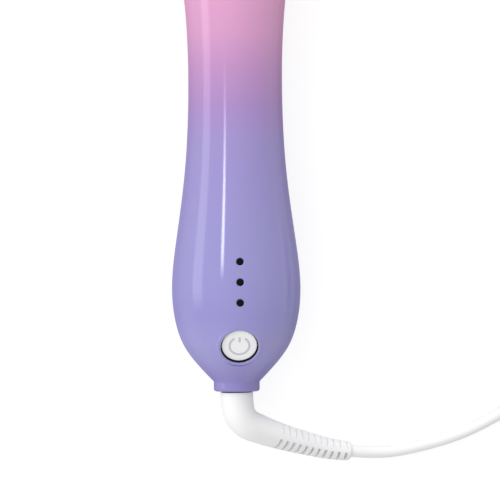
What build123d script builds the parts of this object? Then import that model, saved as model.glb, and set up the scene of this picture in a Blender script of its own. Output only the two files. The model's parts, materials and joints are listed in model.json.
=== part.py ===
from build123d import *
import math
import os

os.makedirs("parts", exist_ok=True)

# Driving dimensions, in millimetres. A station is a distance along the iron from its tail end.
total_length = 368.0
bulge_radius = 24.1  # the iron lies on the two widest rings of its handle
barrel_radius = 12.7  # a one inch barrel
cord_diameter = 4.6
cord_length = 1800.0
wall = 2.4
board_thick = 1.6
small_board_thick = 1.2
apart = 0.3  # between pieces that move past each other
running = 0.06  # radial clearance of a shaft in its bush
slack = 0.1  # radial, of a screw or rivet in its hole

tail_y = -total_length / 2
axis_height = bulge_radius

# Stations of the main pieces
collar_end = 3.8
power_station = 16.5
indicator_stations = (33.4, 41.0, 48.6)
board_span = (28.0, 86.0)
motor_span = (114.0, 143.5)
gearbox_start = 143.5
drum_span = (167.5, 184.0)
home_station = 188.0
rotate_pitch = 12.0
nose_station = 220.0
base_span = (224.3, 246.0)
hinge_station = 250.0
tube_span = (238.0, 344.0)

# The handle's outline: station and radius, from the collar to the nose
handle_outline = [
    (collar_end, 8.75),
    (9.4, 14.0),
    (16.1, 19.1),
    (25.1, 22.6),
    (38.4, bulge_radius),
    (56.6, 22.4),
    (79.1, 19.4),
    (112.0, 17.6),
    (146.6, 19.0),
    (176.0, 22.9),
    (190.0, bulge_radius - 0.01),
    (204.0, 23.1),
    (214.0, 20.9),
    (nose_station, 18.5),
]


def at(station, x=0.0, rise=0.0):
    """The point at a station, beside and above the iron's axis."""
    return Vector(x, tail_y + station, axis_height + rise)


def across(station, x=0.0, rise=0.0):
    """A plane square to the iron that looks towards the tip, with its own y axis up."""
    return Plane(origin=at(station, x, rise), x_dir=(-1, 0, 0), z_dir=(0, 1, 0))


def level(rise, station=0.0, x=0.0):
    """A level plane at a rise over the axis; its own y axis runs along the iron."""
    return Plane(origin=at(station, x, rise), x_dir=(1, 0, 0), z_dir=(0, 0, 1))


def sideways(x, station=0.0, rise=0.0):
    """A plane that faces +X; its own x axis runs along the iron and its y axis up."""
    return Plane(origin=at(station, x, rise), x_dir=(0, 1, 0), z_dir=(1, 0, 0))


lengthwise = level(0)
long_axis = Axis(at(0), (0, 1, 0))


def turned(*outline):
    """A closed outline of (station, radius) points, to be revolved about the axis."""
    with BuildSketch(lengthwise) as flat:
        with BuildLine():
            Polyline(*[(radius, station) for station, radius in outline], close=True)
        make_face()
    return flat.sketch


def ring(station, outer, inner=0.0, x=0.0, rise=0.0):
    """A disc or ring square to the iron."""
    with BuildSketch(across(station, x, rise)) as flat:
        Circle(outer)
        if inner:
            Circle(inner, mode=Mode.SUBTRACT)
    return flat.sketch


def plate(plane, width, length):
    """A rectangle on a plane."""
    with BuildSketch(plane) as flat:
        Rectangle(width, length)
    return flat.sketch


def disc(plane, radius, inner=0.0):
    """A disc or ring on a plane."""
    with BuildSketch(plane) as flat:
        Circle(radius)
        if inner:
            Circle(inner, mode=Mode.SUBTRACT)
    return flat.sketch


def save(part, name):
    part.label = name
    export_step(part, f"parts/{name}.step")


def biarc(start, leaving, end, arriving):
    """Two arcs that join two points along their directions: the joint and its direction."""
    chord = end - start
    both = leaving + arriving
    along = chord.dot(both)
    across_both = 2 * (1 - leaving.dot(arriving))
    if across_both < 1e-9:
        reach = chord.dot(chord) / (4 * chord.dot(arriving))
    else:
        root = math.sqrt(along**2 + across_both * chord.dot(chord))
        reach = (root - along) / across_both
    joint = (start + leaving * reach + end - arriving * reach) * 0.5
    heading = (end - arriving * reach - start - leaving * reach).normalized()
    return joint, heading


def wound_wire(path, turns, steps, lead):
    """A wire of biarcs, each about a quarter turn, along a path that gives a point and a direction.

    It runs straight for the lead's length at both ends.
    """
    places = [path(turns * k / steps) for k in range(steps + 1)]
    first, first_heading = places[0]
    last, last_heading = places[-1]
    with BuildLine() as wire:
        Line(first - first_heading * lead, first)
        for (start, leaving), (end, arriving) in zip(places, places[1:]):
            joint, heading = biarc(start, leaving, end, arriving)
            TangentArc(start, joint, tangent=leaving)
            TangentArc(joint, end, tangent=heading)
        Line(last, last + last_heading * lead)
    return wire.wire()


def least_gap(wire, diameter):
    """The least gap of a wound tube to itself, from points spaced evenly along its wire."""
    count = math.ceil(5 * wire.length / diameter)
    points = [tuple(wire @ (k / count)) for k in range(count + 1)]
    near = 15  # points of the same stretch, three diameters
    least = min(math.dist(a, b) for i, a in enumerate(points) for b in points[i + near :])
    return least - diameter


def drawn_in(inset):
    """The handle's outline moved inwards by an inset, measured square to its surface."""
    moved = []
    for before, here, after in zip(handle_outline, handle_outline[1:], handle_outline[2:]):
        slope = (after[1] - before[1]) / (after[0] - before[0])
        moved.append((here[1] - inset * math.hypot(1, slope), here[0]))
    return moved


def handle_radius(station):
    """The handle's outer radius at a station, as straight runs between the outline's points."""
    for (s0, r0), (s1, r1) in zip(handle_outline, handle_outline[1:]):
        if s0 <= station <= s1:
            return r0 + (r1 - r0) * (station - s0) / (s1 - s0)
    return 0.0


# The handle's outer form, turned about its axis
collar_radius = 8.6
collar_edge = 0.6
with BuildPart() as outer_form:
    with BuildSketch(lengthwise):
        with BuildLine():
            curve = Spline(*[(radius, station) for station, radius in handle_outline])
            Polyline(
                curve @ 1,
                (0, nose_station),
                (0, 0),
                (collar_radius - collar_edge, 0),
                (collar_radius, collar_edge),
                (collar_radius, collar_end),
                curve @ 0,
            )
        make_face()
    revolve(axis=long_axis)


def inner_form(inset):
    """The solid inside the handle's wall, from the shoulder to the nose."""
    with BuildPart() as inside:
        with BuildSketch(lengthwise):
            with BuildLine():
                points = drawn_in(inset)
                Spline(*points)
                Polyline(points[-1], (0, points[-1][1]), (0, points[0][1]), points[0])
            make_face()
        revolve(axis=long_axis)
    return inside.part


# The power button sits inside a raised ring on the shoulder, tilted towards the tail
power_tilt = math.radians(30)
power_cap_radius = 6.55
power_hole_radius = 7.0
power_ring_radius = 8.75
power_ring_top = -1.0
power_ring_shoulder = 0.85
power_seat_radius = 8.3
power_well_radius = 9.7
power_well_depth = 5.0
power_plane = Plane(
    origin=at(power_station, 0, 19.25),
    x_dir=(1, 0, 0),
    z_dir=(0, -math.sin(power_tilt), math.cos(power_tilt)),
)
power_axis = Axis(power_plane.origin, power_plane.z_dir)
# A plane through the button's axis, to draw what is turned about it
power_section = Plane(
    origin=power_plane.origin,
    x_dir=(1, 0, 0),
    z_dir=(0, -math.cos(power_tilt), -math.sin(power_tilt)),
)

# Long screws from the back hold the two shells together: station, side and end of the boss
screw_places = [(58.0, 15.0), (103.0, 11.6), (206.0, 16.4)]
boss_radius = 3.0
screw_radius = 1.15
screw_head_radius = 2.1
screw_head_height = 1.8
screw_reach = 6.0  # above the axis, into the front shell
head_depth = 8.0  # below the axis

# Ribs that hold the pieces inside: station, length and inner radius
motor_radius = 10.0
gearbox_radius = 13.6
cup_radius = 8.4
rib_places = [
    (114.5, 2.0, motor_radius),
    (134.0, 2.0, motor_radius),
    (147.0, 2.0, gearbox_radius),
    (160.0, 2.0, gearbox_radius),
]
board_rise = -10.6
board_post_places = [(32.0, 2.6), (81.0, 2.6)]
post_screw_radius = 0.9
lens_radius = 1.32
bearing_radius = 10.0
bearing_span = (212.4, 218.4)
hub_radius = 6.94

with BuildPart() as hollow:
    add(inner_form(wall))
    for station, length, inner in rib_places:
        extrude(ring(station, 30, inner), amount=length, mode=Mode.SUBTRACT)
    for station, x in screw_places:
        for side in (-1, 1):
            extrude(
                disc(level(-30, station, side * x), boss_radius),
                amount=60,
                mode=Mode.SUBTRACT,
            )
    for station, radius in board_post_places:
        extrude(disc(level(-30, station), radius), amount=30 + board_rise, mode=Mode.SUBTRACT)
    extrude(disc(power_plane.offset(-power_well_depth), power_well_radius), amount=12, mode=Mode.SUBTRACT)
    # The cradle of the cord's socket, in the rear shell alone
    with BuildSketch(across(12.5)):
        with Locations((0, -15)):
            Rectangle(60, 30)
        Circle(cup_radius, mode=Mode.SUBTRACT)
    extrude(amount=2, mode=Mode.SUBTRACT)
    # Ways for the leads through the ribs, at the left side and on top
    extrude(plate(across(110, -13.4), 2.8, 3.4), amount=30)
    extrude(plate(across(145, -14.9), 2.4, 3.4), amount=20)
    extrude(plate(across(110, 0, 12.4), 8.0, 3.0), amount=30)
    extrude(plate(across(145, 0, 15.0), 8.0, 2.4), amount=20)

boot_gap = 0.4
spool_neck = 5.62
flange_span = (7.3, 9.2)
with BuildPart() as handle:
    add(outer_form.part)
    add(hollow.part, mode=Mode.SUBTRACT)
    # The collar's bore and the room for the swivel's flange
    extrude(ring(0, spool_neck + running), amount=20, mode=Mode.SUBTRACT)
    extrude(ring(flange_span[0] - apart, 8.5), amount=3, mode=Mode.SUBTRACT)
    # The nose's seat for the front bearing
    extrude(ring(205, bearing_radius), amount=bearing_span[1] - 205, mode=Mode.SUBTRACT)
    extrude(ring(205, hub_radius + 0.5), amount=20, mode=Mode.SUBTRACT)
    # The seat, the raised ring and the hole of the power button
    extrude(disc(power_plane.offset(power_ring_top - 0.3), power_seat_radius), amount=6, mode=Mode.SUBTRACT)
    with BuildSketch(power_section):
        with BuildLine():
            flat_radius = power_ring_radius - power_ring_shoulder
            shoulder_rise = power_ring_top - power_ring_shoulder
            Polyline((flat_radius, power_ring_top), (4, power_ring_top), (4, -3.1), (power_ring_radius, -3.1),
                     (power_ring_radius, shoulder_rise))
            CenterArc((flat_radius, shoulder_rise), power_ring_shoulder, 0, 90)
        make_face()
    revolve(axis=power_axis)
    extrude(disc(power_plane.offset(-12), power_hole_radius), amount=14, mode=Mode.SUBTRACT)
    # Three small windows for the indicators
    for station in indicator_stations:
        extrude(disc(level(15, station), lens_radius + 0.04), amount=20, mode=Mode.SUBTRACT)
    # The opening for the control panel
    with BuildSketch(level(10)):
        with Locations((0, home_station)):
            SlotOverall(44.4, 20.4, rotation=90)
    extrude(amount=30, mode=Mode.SUBTRACT)
    # The screws' ways in from the back, and their pilot holes in the front shell
    for station, x in screw_places:
        for side in (-1, 1):
            head = level(-head_depth, station, side * x)
            extrude(disc(head, screw_head_radius + slack), amount=-30, mode=Mode.SUBTRACT)
            extrude(disc(head, screw_radius + slack), amount=head_depth, mode=Mode.SUBTRACT)
            extrude(disc(level(0, station, side * x), screw_radius), amount=screw_reach + 1,
                    mode=Mode.SUBTRACT)
    for station, radius in board_post_places:
        extrude(disc(level(board_rise, station), post_screw_radius), amount=-6, mode=Mode.SUBTRACT)

with BuildPart() as front_shell:
    add(handle.part)
    split(bisect_by=Plane(at(0), (1, 0, 0), (0, 0, 1)), keep=Keep.TOP)
save(front_shell.part, "front_shell")

with BuildPart() as rear_shell:
    add(handle.part)
    split(bisect_by=Plane(at(0), (1, 0, 0), (0, 0, 1)), keep=Keep.BOTTOM)
save(rear_shell.part, "rear_shell")

with BuildPart() as handle_screws:
    for station, x in screw_places:
        for side in (-1, 1):
            head = level(-head_depth, station, side * x)
            extrude(disc(head, screw_head_radius), amount=-screw_head_height)
            extrude(disc(head, screw_radius), amount=head_depth + screw_reach)
save(handle_screws.part, "handle_screws")

# Controls: each button slides straight into its place
button_travel = 0.6
with BuildPart() as power_button:
    with BuildSketch(power_section):
        with BuildLine():
            ThreePointArc((0, -1.93), (4.0, -1.99), (6.25, -2.1))
            ThreePointArc((6.25, -2.1), (6.46, -2.19), (power_cap_radius, -2.4))
            Polyline((power_cap_radius, -2.4), (power_cap_radius, -5.35), (8.3, -5.35), (8.3, -6.5),
                     (1.6, -6.5), (1.6, -8.4), (0, -8.4), (0, -1.93))
        make_face()
    revolve(axis=power_axis)
save(power_button.part, "power_button")

with BuildPart() as indicator_lenses:
    for station in indicator_stations:
        extrude(disc(level(18.6, station), lens_radius), amount=12)
    add(outer_form.part, mode=Mode.INTERSECT)
save(indicator_lenses.part, "indicator_lenses")

# The control panel follows the upper bulge; a lip inside keeps it in its opening
panel_rise = 9.0
control_stations = (home_station - rotate_pitch, home_station, home_station + rotate_pitch)
control_radii = (5.5, 4.2, 5.5)
cap_height = 0.8  # over the panel
cap_depth = 6.2  # under the panel, down to the cap's flange
panel_inner = inner_form(3.1)
with BuildPart() as panel_lip:
    with BuildSketch(level(panel_rise)):
        with Locations((0, home_station)):
            SlotOverall(47, 23, rotation=90)
    extrude(amount=20)
    add(inner_form(wall + 0.15), mode=Mode.INTERSECT)
    add(inner_form(3.7), mode=Mode.SUBTRACT)
with BuildPart() as control_panel:
    with BuildSketch(level(panel_rise)):
        with Locations((0, home_station)):
            SlotOverall(44, 20, rotation=90)
    extrude(amount=20)
    add(outer_form.part, mode=Mode.INTERSECT)
    add(panel_inner, mode=Mode.SUBTRACT)
    add(panel_lip.part)
    for station in (170.0, 206.0):
        for x in (-6.0, 6.0):
            extrude(disc(level(12.2, station, x), 1.5), amount=6.6)
    for station, radius in zip(control_stations, control_radii):
        extrude(disc(level(panel_rise, station), radius + apart), amount=20, mode=Mode.SUBTRACT)
save(control_panel.part, "control_panel")

tact_top = 14.4
control_names = ("rotate_left_button", "home_button", "rotate_right_button")
for name, station, radius in zip(control_names, control_stations, control_radii):
    top = handle_radius(station) + cap_height
    flange_top = handle_radius(station) - cap_depth
    with BuildPart() as button:
        extrude(disc(level(flange_top - 0.2, station), radius), amount=top - flange_top + 0.2)
        fillet(button.faces().sort_by(Axis.Z)[-1].edges(), 0.6)
        extrude(disc(level(flange_top - 1.1, station), radius + 1.0), amount=1.1)
        extrude(disc(level(tact_top + button_travel + apart, station), 1.4),
                amount=flange_top - tact_top - button_travel - apart)
    save(button.part, name)

# Boards: the controls' board in the upper bulge, the indicators' and the power switch's boards
# near the tail, and the main board in the rear shell
button_board_rise = 11.0
tact_size = 6.0
tact_stem = 1.6
with BuildPart() as button_board:
    extrude(plate(level(button_board_rise, home_station), 16, 39), amount=small_board_thick)
save(button_board.part, "button_board")

power_switch_plane = power_plane.offset(-13.4)
with BuildPart() as tact_switches:
    for station in control_stations:
        case_rise = button_board_rise + small_board_thick
        extrude(plate(level(case_rise, station), tact_size, tact_size), amount=1.6)
        extrude(disc(level(case_rise + 1.6, station), tact_stem), amount=tact_top - case_rise - 1.6)
    extrude(plate(power_switch_plane, tact_size, tact_size), amount=3.2)
    extrude(disc(power_switch_plane.offset(3.2), tact_stem), amount=0.8)
save(tact_switches.part, "tact_switches")

with BuildPart() as power_switch_board:
    extrude(plate(power_switch_plane, 13, 8.5), amount=-small_board_thick)
save(power_switch_board.part, "power_switch_board")

indicator_rise = 16.6
with BuildPart() as indicator_board:
    extrude(plate(level(indicator_rise, 41), 9, 24), amount=-1.0)
save(indicator_board.part, "indicator_board")

with BuildPart() as indicator_lights:
    for station in indicator_stations:
        extrude(plate(level(indicator_rise, station), 2.4, 1.6), amount=1.1)
save(indicator_lights.part, "indicator_lights")

board_middle = sum(board_span) / 2
board_length = board_span[1] - board_span[0]
board_top = board_rise + board_thick
with BuildPart() as main_board:
    extrude(plate(level(board_rise, board_middle), 21, board_length), amount=board_thick)
    for station, radius in board_post_places:
        extrude(disc(level(board_rise, station), post_screw_radius + 0.2), amount=board_thick,
                mode=Mode.SUBTRACT)
save(main_board.part, "main_board")

with BuildPart() as board_screws:
    for station, radius in board_post_places:
        extrude(disc(level(board_top, station), 1.8), amount=1.3)
        extrude(disc(level(board_top, station), post_screw_radius - 0.02), amount=-6.5)
save(board_screws.part, "board_screws")

with BuildPart() as transformer:
    extrude(plate(level(board_top, 46), 15, 13), amount=12.5)
    extrude(plate(level(board_top + 2.2, 46), 12, 16), amount=8)
save(transformer.part, "transformer")

with BuildPart() as board_components:
    # A smoothing capacitor, a relay, a driver chip with its heat spreader, a fuse and two sockets
    extrude(disc(level(board_top, 60, -4.6), 4.0), amount=10)
    extrude(plate(level(board_top, 61.5, 5.0), 8, 12), amount=8)
    extrude(plate(level(board_top, 71.5, -3.5), 7, 7), amount=1.6)
    extrude(plate(level(board_top, 71.5, 5.6), 5, 8), amount=6)
    extrude(plate(level(board_top, 33.5, 7.0), 4, 9), amount=5)
    extrude(plate(level(board_top, 33.5, -7.0), 4, 8), amount=5)
    extrude(plate(level(board_top, 82.5, 6.4), 7, 4), amount=5)
    extrude(plate(level(board_top, 82.5, -6.4), 7, 4), amount=5)
save(board_components.part, "board_components")

# Drive: a sealed motor with its first reductions, and a planetary last stage round its output pinion
module = 0.5
pressure_angle = math.radians(20)
sun_teeth = 12
planet_teeth = 18
ring_teeth = 48
planet_reach = module * (sun_teeth + planet_teeth) / 2
planet_angles = (90, 210, 330)
tooth_play = 0.12  # share of the tooth's width that is left free


def involute(angle):
    return math.tan(angle) - angle


def toothed(plane, teeth, play, addendum, dedendum, turn=0.0):
    """The face of a spur gear with involute flanks; a negative play makes its cutter's face."""
    pitch_radius = module * teeth / 2
    base_radius = pitch_radius * math.cos(pressure_angle)
    root, tip = pitch_radius - dedendum, pitch_radius + addendum
    flank = []
    for radius in (root, max(root, base_radius), (pitch_radius + base_radius) / 2, pitch_radius, tip):
        lean = involute(math.acos(min(1.0, base_radius / radius)))
        half = (math.pi / 2) * (1 - play) / teeth + involute(pressure_angle) - lean
        if not flank or radius > flank[-1][0] + 1e-6:
            flank.append((radius, half))
    corners = []
    for tooth in range(teeth):
        middle = math.radians(turn) + 2 * math.pi * tooth / teeth
        corners += [(radius, middle - half) for radius, half in flank]
        corners += [(radius, middle + half) for radius, half in reversed(flank)]
    with BuildSketch(plane) as flat:
        with BuildLine():
            Polyline(*[(r * math.cos(a), r * math.sin(a)) for r, a in corners], close=True)
        make_face()
    return flat.sketch


shaft_radius = 1.5
gear_span = (148.0, 155.6)
gearbox_floor = 2.5
toothed_end = 157.1  # of the ring gear's teeth
carrier_span = (157.4, 160.2)
cover_station = 162.0
with BuildPart() as motor:
    extrude(ring(motor_span[0], motor_radius), amount=motor_span[1] - motor_span[0])
    fillet(motor.edges().filter_by(GeomType.CIRCLE), 0.8)
    extrude(ring(motor_span[0] - 2.0, 3.2), amount=2.0)
    extrude(ring(motor_span[1] - 10, shaft_radius + running), amount=20, mode=Mode.SUBTRACT)
save(motor.part, "motor")

with BuildPart() as motor_pinion:
    extrude(ring(motor_span[1] - 9, shaft_radius), amount=gear_span[0] - motor_span[1] + 9)
    extrude(toothed(across(gear_span[0]), sun_teeth, tooth_play, 0.8 * module, 1.1 * module),
            amount=gear_span[1] - gear_span[0])
save(motor_pinion.part, "motor_pinion")

with BuildPart() as gear_housing:
    extrude(ring(gearbox_start, gearbox_radius, 3.0), amount=gearbox_floor)
    ring_start = gearbox_start + gearbox_floor
    extrude(ring(ring_start, gearbox_radius), amount=toothed_end - ring_start)
    extrude(
        toothed(across(ring_start), ring_teeth, -tooth_play, 1.2 * module, 0.8 * module,
                180 / ring_teeth),
        amount=toothed_end - ring_start, mode=Mode.SUBTRACT,
    )
    extrude(ring(toothed_end, gearbox_radius, 12.75), amount=cover_station - toothed_end)
save(gear_housing.part, "gear_housing")

pin_radius = 1.25
for number, angle in enumerate(planet_angles, 1):
    x = -planet_reach * math.cos(math.radians(angle))
    rise = planet_reach * math.sin(math.radians(angle))
    with BuildPart() as planet:
        extrude(
            toothed(across(gear_span[0] + 0.3, x, rise), planet_teeth, tooth_play, 0.8 * module,
                    1.1 * module, angle + 180 / planet_teeth),
            amount=gear_span[1] - gear_span[0] - 0.6,
        )
        extrude(ring(140, pin_radius + running, 0, x, rise), amount=30, mode=Mode.SUBTRACT)
    save(planet.part, f"planet_gear_{number}")

axle_radius = 4.0
with BuildPart() as planet_carrier:
    extrude(ring(carrier_span[0], 12.4), amount=carrier_span[1] - carrier_span[0])
    for angle in planet_angles:
        x = -planet_reach * math.cos(math.radians(angle))
        rise = planet_reach * math.sin(math.radians(angle))
        extrude(ring(gear_span[0] - 0.4, pin_radius, 0, x, rise), amount=9.8)
        extrude(ring(156.2, 2.2, 0, x, rise), amount=carrier_span[0] - 156.2)
    extrude(ring(carrier_span[0], axle_radius), amount=192 - carrier_span[0])
    extrude(ring(170, 2.2), amount=30, mode=Mode.SUBTRACT)
save(planet_carrier.part, "planet_carrier")

with BuildPart() as gearbox_cover:
    extrude(ring(cover_station, gearbox_radius, 8.0), amount=2.5)
save(gearbox_cover.part, "gearbox_cover")

with BuildPart() as rear_bearing:
    extrude(ring(161.2, 8.0, axle_radius + running), amount=3.3)
save(rear_bearing.part, "rear_bearing")

# Slip rings carry the current across to the turning barrel
ring_stations = (169.5, 173.5, 177.5)
with BuildPart() as slip_drum:
    revolve(
        turned(
            (drum_span[0], axle_radius), (drum_span[0], 8.0), (180.6, 8.0), (180.6, 8.8),
            (drum_span[1], 8.8), (drum_span[1], axle_radius),
        ),
        axis=long_axis,
    )
    extrude(disc(level(7.0, 182.3), 1.0), amount=4, mode=Mode.SUBTRACT)
save(slip_drum.part, "slip_drum")

with BuildPart() as home_magnet:
    extrude(disc(level(7.0, 182.3), 1.0), amount=1.7)
save(home_magnet.part, "home_magnet")

with BuildPart() as home_sensor:
    extrude(plate(level(9.4, 182.3), 4, 3), amount=1.6)
save(home_sensor.part, "home_sensor")

with BuildPart() as slip_rings:
    for station in ring_stations:
        extrude(ring(station, 8.45, 8.0), amount=2.4)
save(slip_rings.part, "slip_rings")

brush_hole = (2.6, 3.2)
with BuildPart() as brush_block:
    extrude(plate(across(167.4, -13.4), 7.2, 9), amount=14.6)
    for station in ring_stations:
        extrude(plate(sideways(-16.2, station + 1.2), *brush_hole), amount=12, mode=Mode.SUBTRACT)
save(brush_block.part, "brush_block")

with BuildPart() as carbon_brushes:
    for station in ring_stations:
        extrude(plate(sideways(-13.6, station + 1.2), brush_hole[0] - 0.1, brush_hole[1] - 0.1), amount=5.0)
save(carbon_brushes.part, "carbon_brushes")

with BuildPart() as brush_springs:
    for station in ring_stations:
        extrude(disc(sideways(-16.2, station + 1.2), 1.2, 0.8), amount=2.6)
save(brush_springs.part, "brush_springs")

with BuildPart() as front_bearing:
    extrude(ring(bearing_span[0], bearing_radius, hub_radius + running),
            amount=bearing_span[1] - bearing_span[0])
save(front_bearing.part, "front_bearing")

with BuildPart() as drive_hub:
    extrude(ring(190.4, hub_radius, axle_radius), amount=31)
    extrude(ring(221.2, 12.4, axle_radius), amount=base_span[0] - 221.2)
save(drive_hub.part, "drive_hub")

# Barrel: a plastic base on the hub, the heated tube in it, the heater inside and a cool tip
tube_inner = 11.5
with BuildPart() as barrel_base:
    revolve(
        turned(
            (base_span[0], 6.0), (base_span[0], 12.8), (base_span[0] + 1, 13.8), (244.8, 13.8),
            (base_span[1], 13.2), (base_span[1], barrel_radius), (tube_span[0], barrel_radius),
            (tube_span[0], 9.8), (228.4, 9.8), (228.4, 6.0),
        ),
        axis=long_axis,
    )
    extrude(disc(level(12.6, 238.0), 3.1), amount=5, mode=Mode.SUBTRACT)
save(barrel_base.part, "barrel_base")

with BuildPart() as barrel_tube:
    extrude(ring(tube_span[0], barrel_radius, tube_inner), amount=tube_span[1] - tube_span[0])
save(barrel_tube.part, "barrel_tube")

heater_span = (253.0, 334.0)
core_size = (12.0, 4.0)
with BuildPart() as heater_holder:
    extrude(ring(heater_span[0], tube_inner - 0.05), amount=heater_span[1] - heater_span[0])
    extrude(plate(across(240), core_size[0] + 0.2, core_size[1] + 0.2), amount=110, mode=Mode.SUBTRACT)
    extrude(ring(290, 1.3, 0, 0, 6.5), amount=60, mode=Mode.SUBTRACT)
save(heater_holder.part, "heater_holder")

with BuildPart() as heater_core:
    extrude(plate(across(heater_span[0] + 1), *core_size), amount=76)
save(heater_core.part, "heater_core")

with BuildPart() as thermistor:
    extrude(ring(296, 1.2, 0, 0, 6.5), amount=12)
save(thermistor.part, "thermistor")

with BuildPart() as heater_leads:
    for x in (-2.2, 2.2):
        extrude(ring(194, 0.9, 0, x), amount=heater_span[0] + 1 - 194)
save(heater_leads.part, "heater_leads")

tip_radius = 13.2
tip_edge = 4.2
with BuildPart() as cool_tip:
    with BuildSketch(lengthwise):
        with BuildLine():
            Polyline((9.4, 337), (tube_inner - 0.02, 337), (tube_inner - 0.02, tube_span[1]),
                     (12.9, tube_span[1]), (tip_radius, tube_span[1] + 0.6),
                     (tip_radius, total_length - tip_edge))
            CenterArc((tip_radius - tip_edge, total_length - tip_edge), tip_edge, 0, 90)
            Polyline((tip_radius - tip_edge, total_length), (0, total_length), (0, 365), (9.4, 365),
                     (9.4, 337))
        make_face()
    revolve(axis=long_axis)
save(cool_tip.part, "cool_tip")

# Clamp: a sprung blade on the barrel, on a pin in a riveted bracket, with a thumb lever
hinge_rise = 15.8
hinge_pin_radius = 1.45
rivet_radius = 0.9
rivet_stations = (241.0, 249.0)
blade_inner = barrel_radius + apart
blade_thick = 0.8
blade_span = (256.0, 328.0)
blade_half_angle = 40
cheek_inside = 7.0
cheek_thick = 1.2


def shell_sector(station, inner, outer, half_angle):
    """A slice of a ring round the axis, on its upper side."""
    with BuildSketch(across(station)) as flat:
        Circle(outer)
        Circle(inner, mode=Mode.SUBTRACT)
        reach = 2 * outer
        spread = reach * math.tan(math.radians(half_angle))
        with BuildLine():
            Polyline((0, 0), (-spread, reach), (spread, reach), close=True)
        make_face(mode=Mode.INTERSECT)
    return flat.sketch


with BuildPart() as clamp_bracket:
    extrude(shell_sector(246.4, barrel_radius, 13.5, 28), amount=7.2)
    for side in (-1, 1):
        with BuildSketch(sideways(side * 6.0 - 0.6, hinge_station)):
            with Locations((0, 14.0)):
                Rectangle(5.2, 3.6)
            with Locations((0, hinge_rise)):
                Circle(2.6)
            with Locations((0, 12.6)):
                Rectangle(6.4, 1.2)
        extrude(amount=1.2)
    extrude(disc(sideways(-20, hinge_station, hinge_rise), hinge_pin_radius), amount=40, mode=Mode.SUBTRACT)
save(clamp_bracket.part, "clamp_bracket")

with BuildPart() as hinge_pin:
    extrude(disc(sideways(-8.6, hinge_station, hinge_rise), hinge_pin_radius), amount=17.2)
    extrude(disc(sideways(-9.4, hinge_station, hinge_rise), 2.2), amount=0.8)
    extrude(disc(sideways(8.6, hinge_station, hinge_rise), 2.2), amount=0.8)
save(hinge_pin.part, "hinge_pin")

tongue_rise = 19.0
with BuildPart() as clamp_blade:
    extrude(shell_sector(blade_span[0], blade_inner, blade_inner + blade_thick, blade_half_angle),
            amount=blade_span[1] - blade_span[0])
    # The blade's far end is round
    with BuildSketch(level(0)):
        with Locations((0, blade_span[1] - 9)):
            Circle(9.2)
        with Locations((0, (230 + blade_span[1] - 9) / 2)):
            Rectangle(40, blade_span[1] - 9 - 230)
    extrude(amount=20, mode=Mode.INTERSECT)
    for side in (-1, 1):
        start = cheek_inside if side > 0 else -cheek_inside - cheek_thick
        with BuildSketch(sideways(start)):
            with BuildLine():
                Polyline((247.2, 13.6), (247.2, tongue_rise + 0.8), (253.5, tongue_rise + 0.8), (264, 11.5),
                         (264, 11.05), (256, 11.05), (252.5, 13.6), close=True)
            make_face()
        extrude(amount=cheek_thick)
    extrude(plate(level(tongue_rise, 244.6), 2 * (cheek_inside + cheek_thick), 17.8), amount=blade_thick)
    extrude(disc(sideways(-20, hinge_station, hinge_rise), hinge_pin_radius + running), amount=40,
            mode=Mode.SUBTRACT)
save(clamp_blade.part, "clamp_blade")

with BuildPart() as clamp_lever:
    with BuildSketch(sideways(-7.5)):
        with BuildLine():
            Polyline((253, tongue_rise + 0.8), (253, 21.4), (246, 22.0))
            ThreePointArc((246, 22.0), (238, 21.8), (230, 22.6))
            Polyline((230, 22.6), (226.4, 22.6), (226.4, 21.4), (230, 21.2), (234.4, tongue_rise + 0.8),
                     (253, tongue_rise + 0.8))
        make_face()
    extrude(amount=15)
    fillet(clamp_lever.edges().filter_by(Axis.Z), 0.5)
    for station in rivet_stations:
        extrude(disc(level(tongue_rise, station), rivet_radius), amount=2, mode=Mode.SUBTRACT)
save(clamp_lever.part, "clamp_lever")

with BuildPart() as clamp_rivets:
    for station in rivet_stations:
        extrude(disc(level(tongue_rise + blade_thick, station), rivet_radius), amount=1.1)
save(clamp_rivets.part, "clamp_rivets")

spring_turns = 4
spring_radius = 2.4
spring_wire = 0.6
spring_span = (12.95, 18.65)  # rises of the wire's middle


def spring_path(turn):
    angle = 2 * math.pi * turn
    climb = (spring_span[1] - spring_span[0]) / spring_turns
    point = at(238, spring_radius * math.cos(angle), spring_span[0] + climb * turn)
    point += Vector(0, spring_radius * math.sin(angle), 0)
    pace = 2 * math.pi * spring_radius
    heading = Vector(-pace * math.sin(angle), pace * math.cos(angle), climb)
    return point, heading.normalized()


def swept_tube(wire, radius):
    """A round tube along a wire."""
    with BuildPart() as tube:
        with BuildSketch(Plane(origin=wire @ 0, z_dir=wire % 0)) as end:
            Circle(radius)
        sweep(end.sketch, path=wire)
    return tube.part


with BuildPart() as clamp_spring:
    spring_wire_path = wound_wire(spring_path, spring_turns, 4 * spring_turns, spring_wire)
    add(swept_tube(spring_wire_path, spring_wire / 2))
save(clamp_spring.part, "clamp_spring")

# Cord entry: a spool that turns in the collar, with contact rings inside the handle
spool_bore = 2.5
spool_end_radius = 4.6
with BuildPart() as swivel_spool:
    revolve(
        turned(
            (-boot_gap, spool_bore), (-boot_gap, spool_neck), (flange_span[0], spool_neck),
            (flange_span[0], 8.0), (flange_span[1], 8.0), (flange_span[1], spool_end_radius),
            (17.0, spool_end_radius), (17.0, spool_bore),
        ),
        axis=long_axis,
    )
save(swivel_spool.part, "swivel_spool")

with BuildPart() as swivel_rings:
    for station in (11.4, 14.4):
        extrude(ring(station, 5.0, spool_end_radius), amount=1.6)
save(swivel_rings.part, "swivel_rings")

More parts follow.
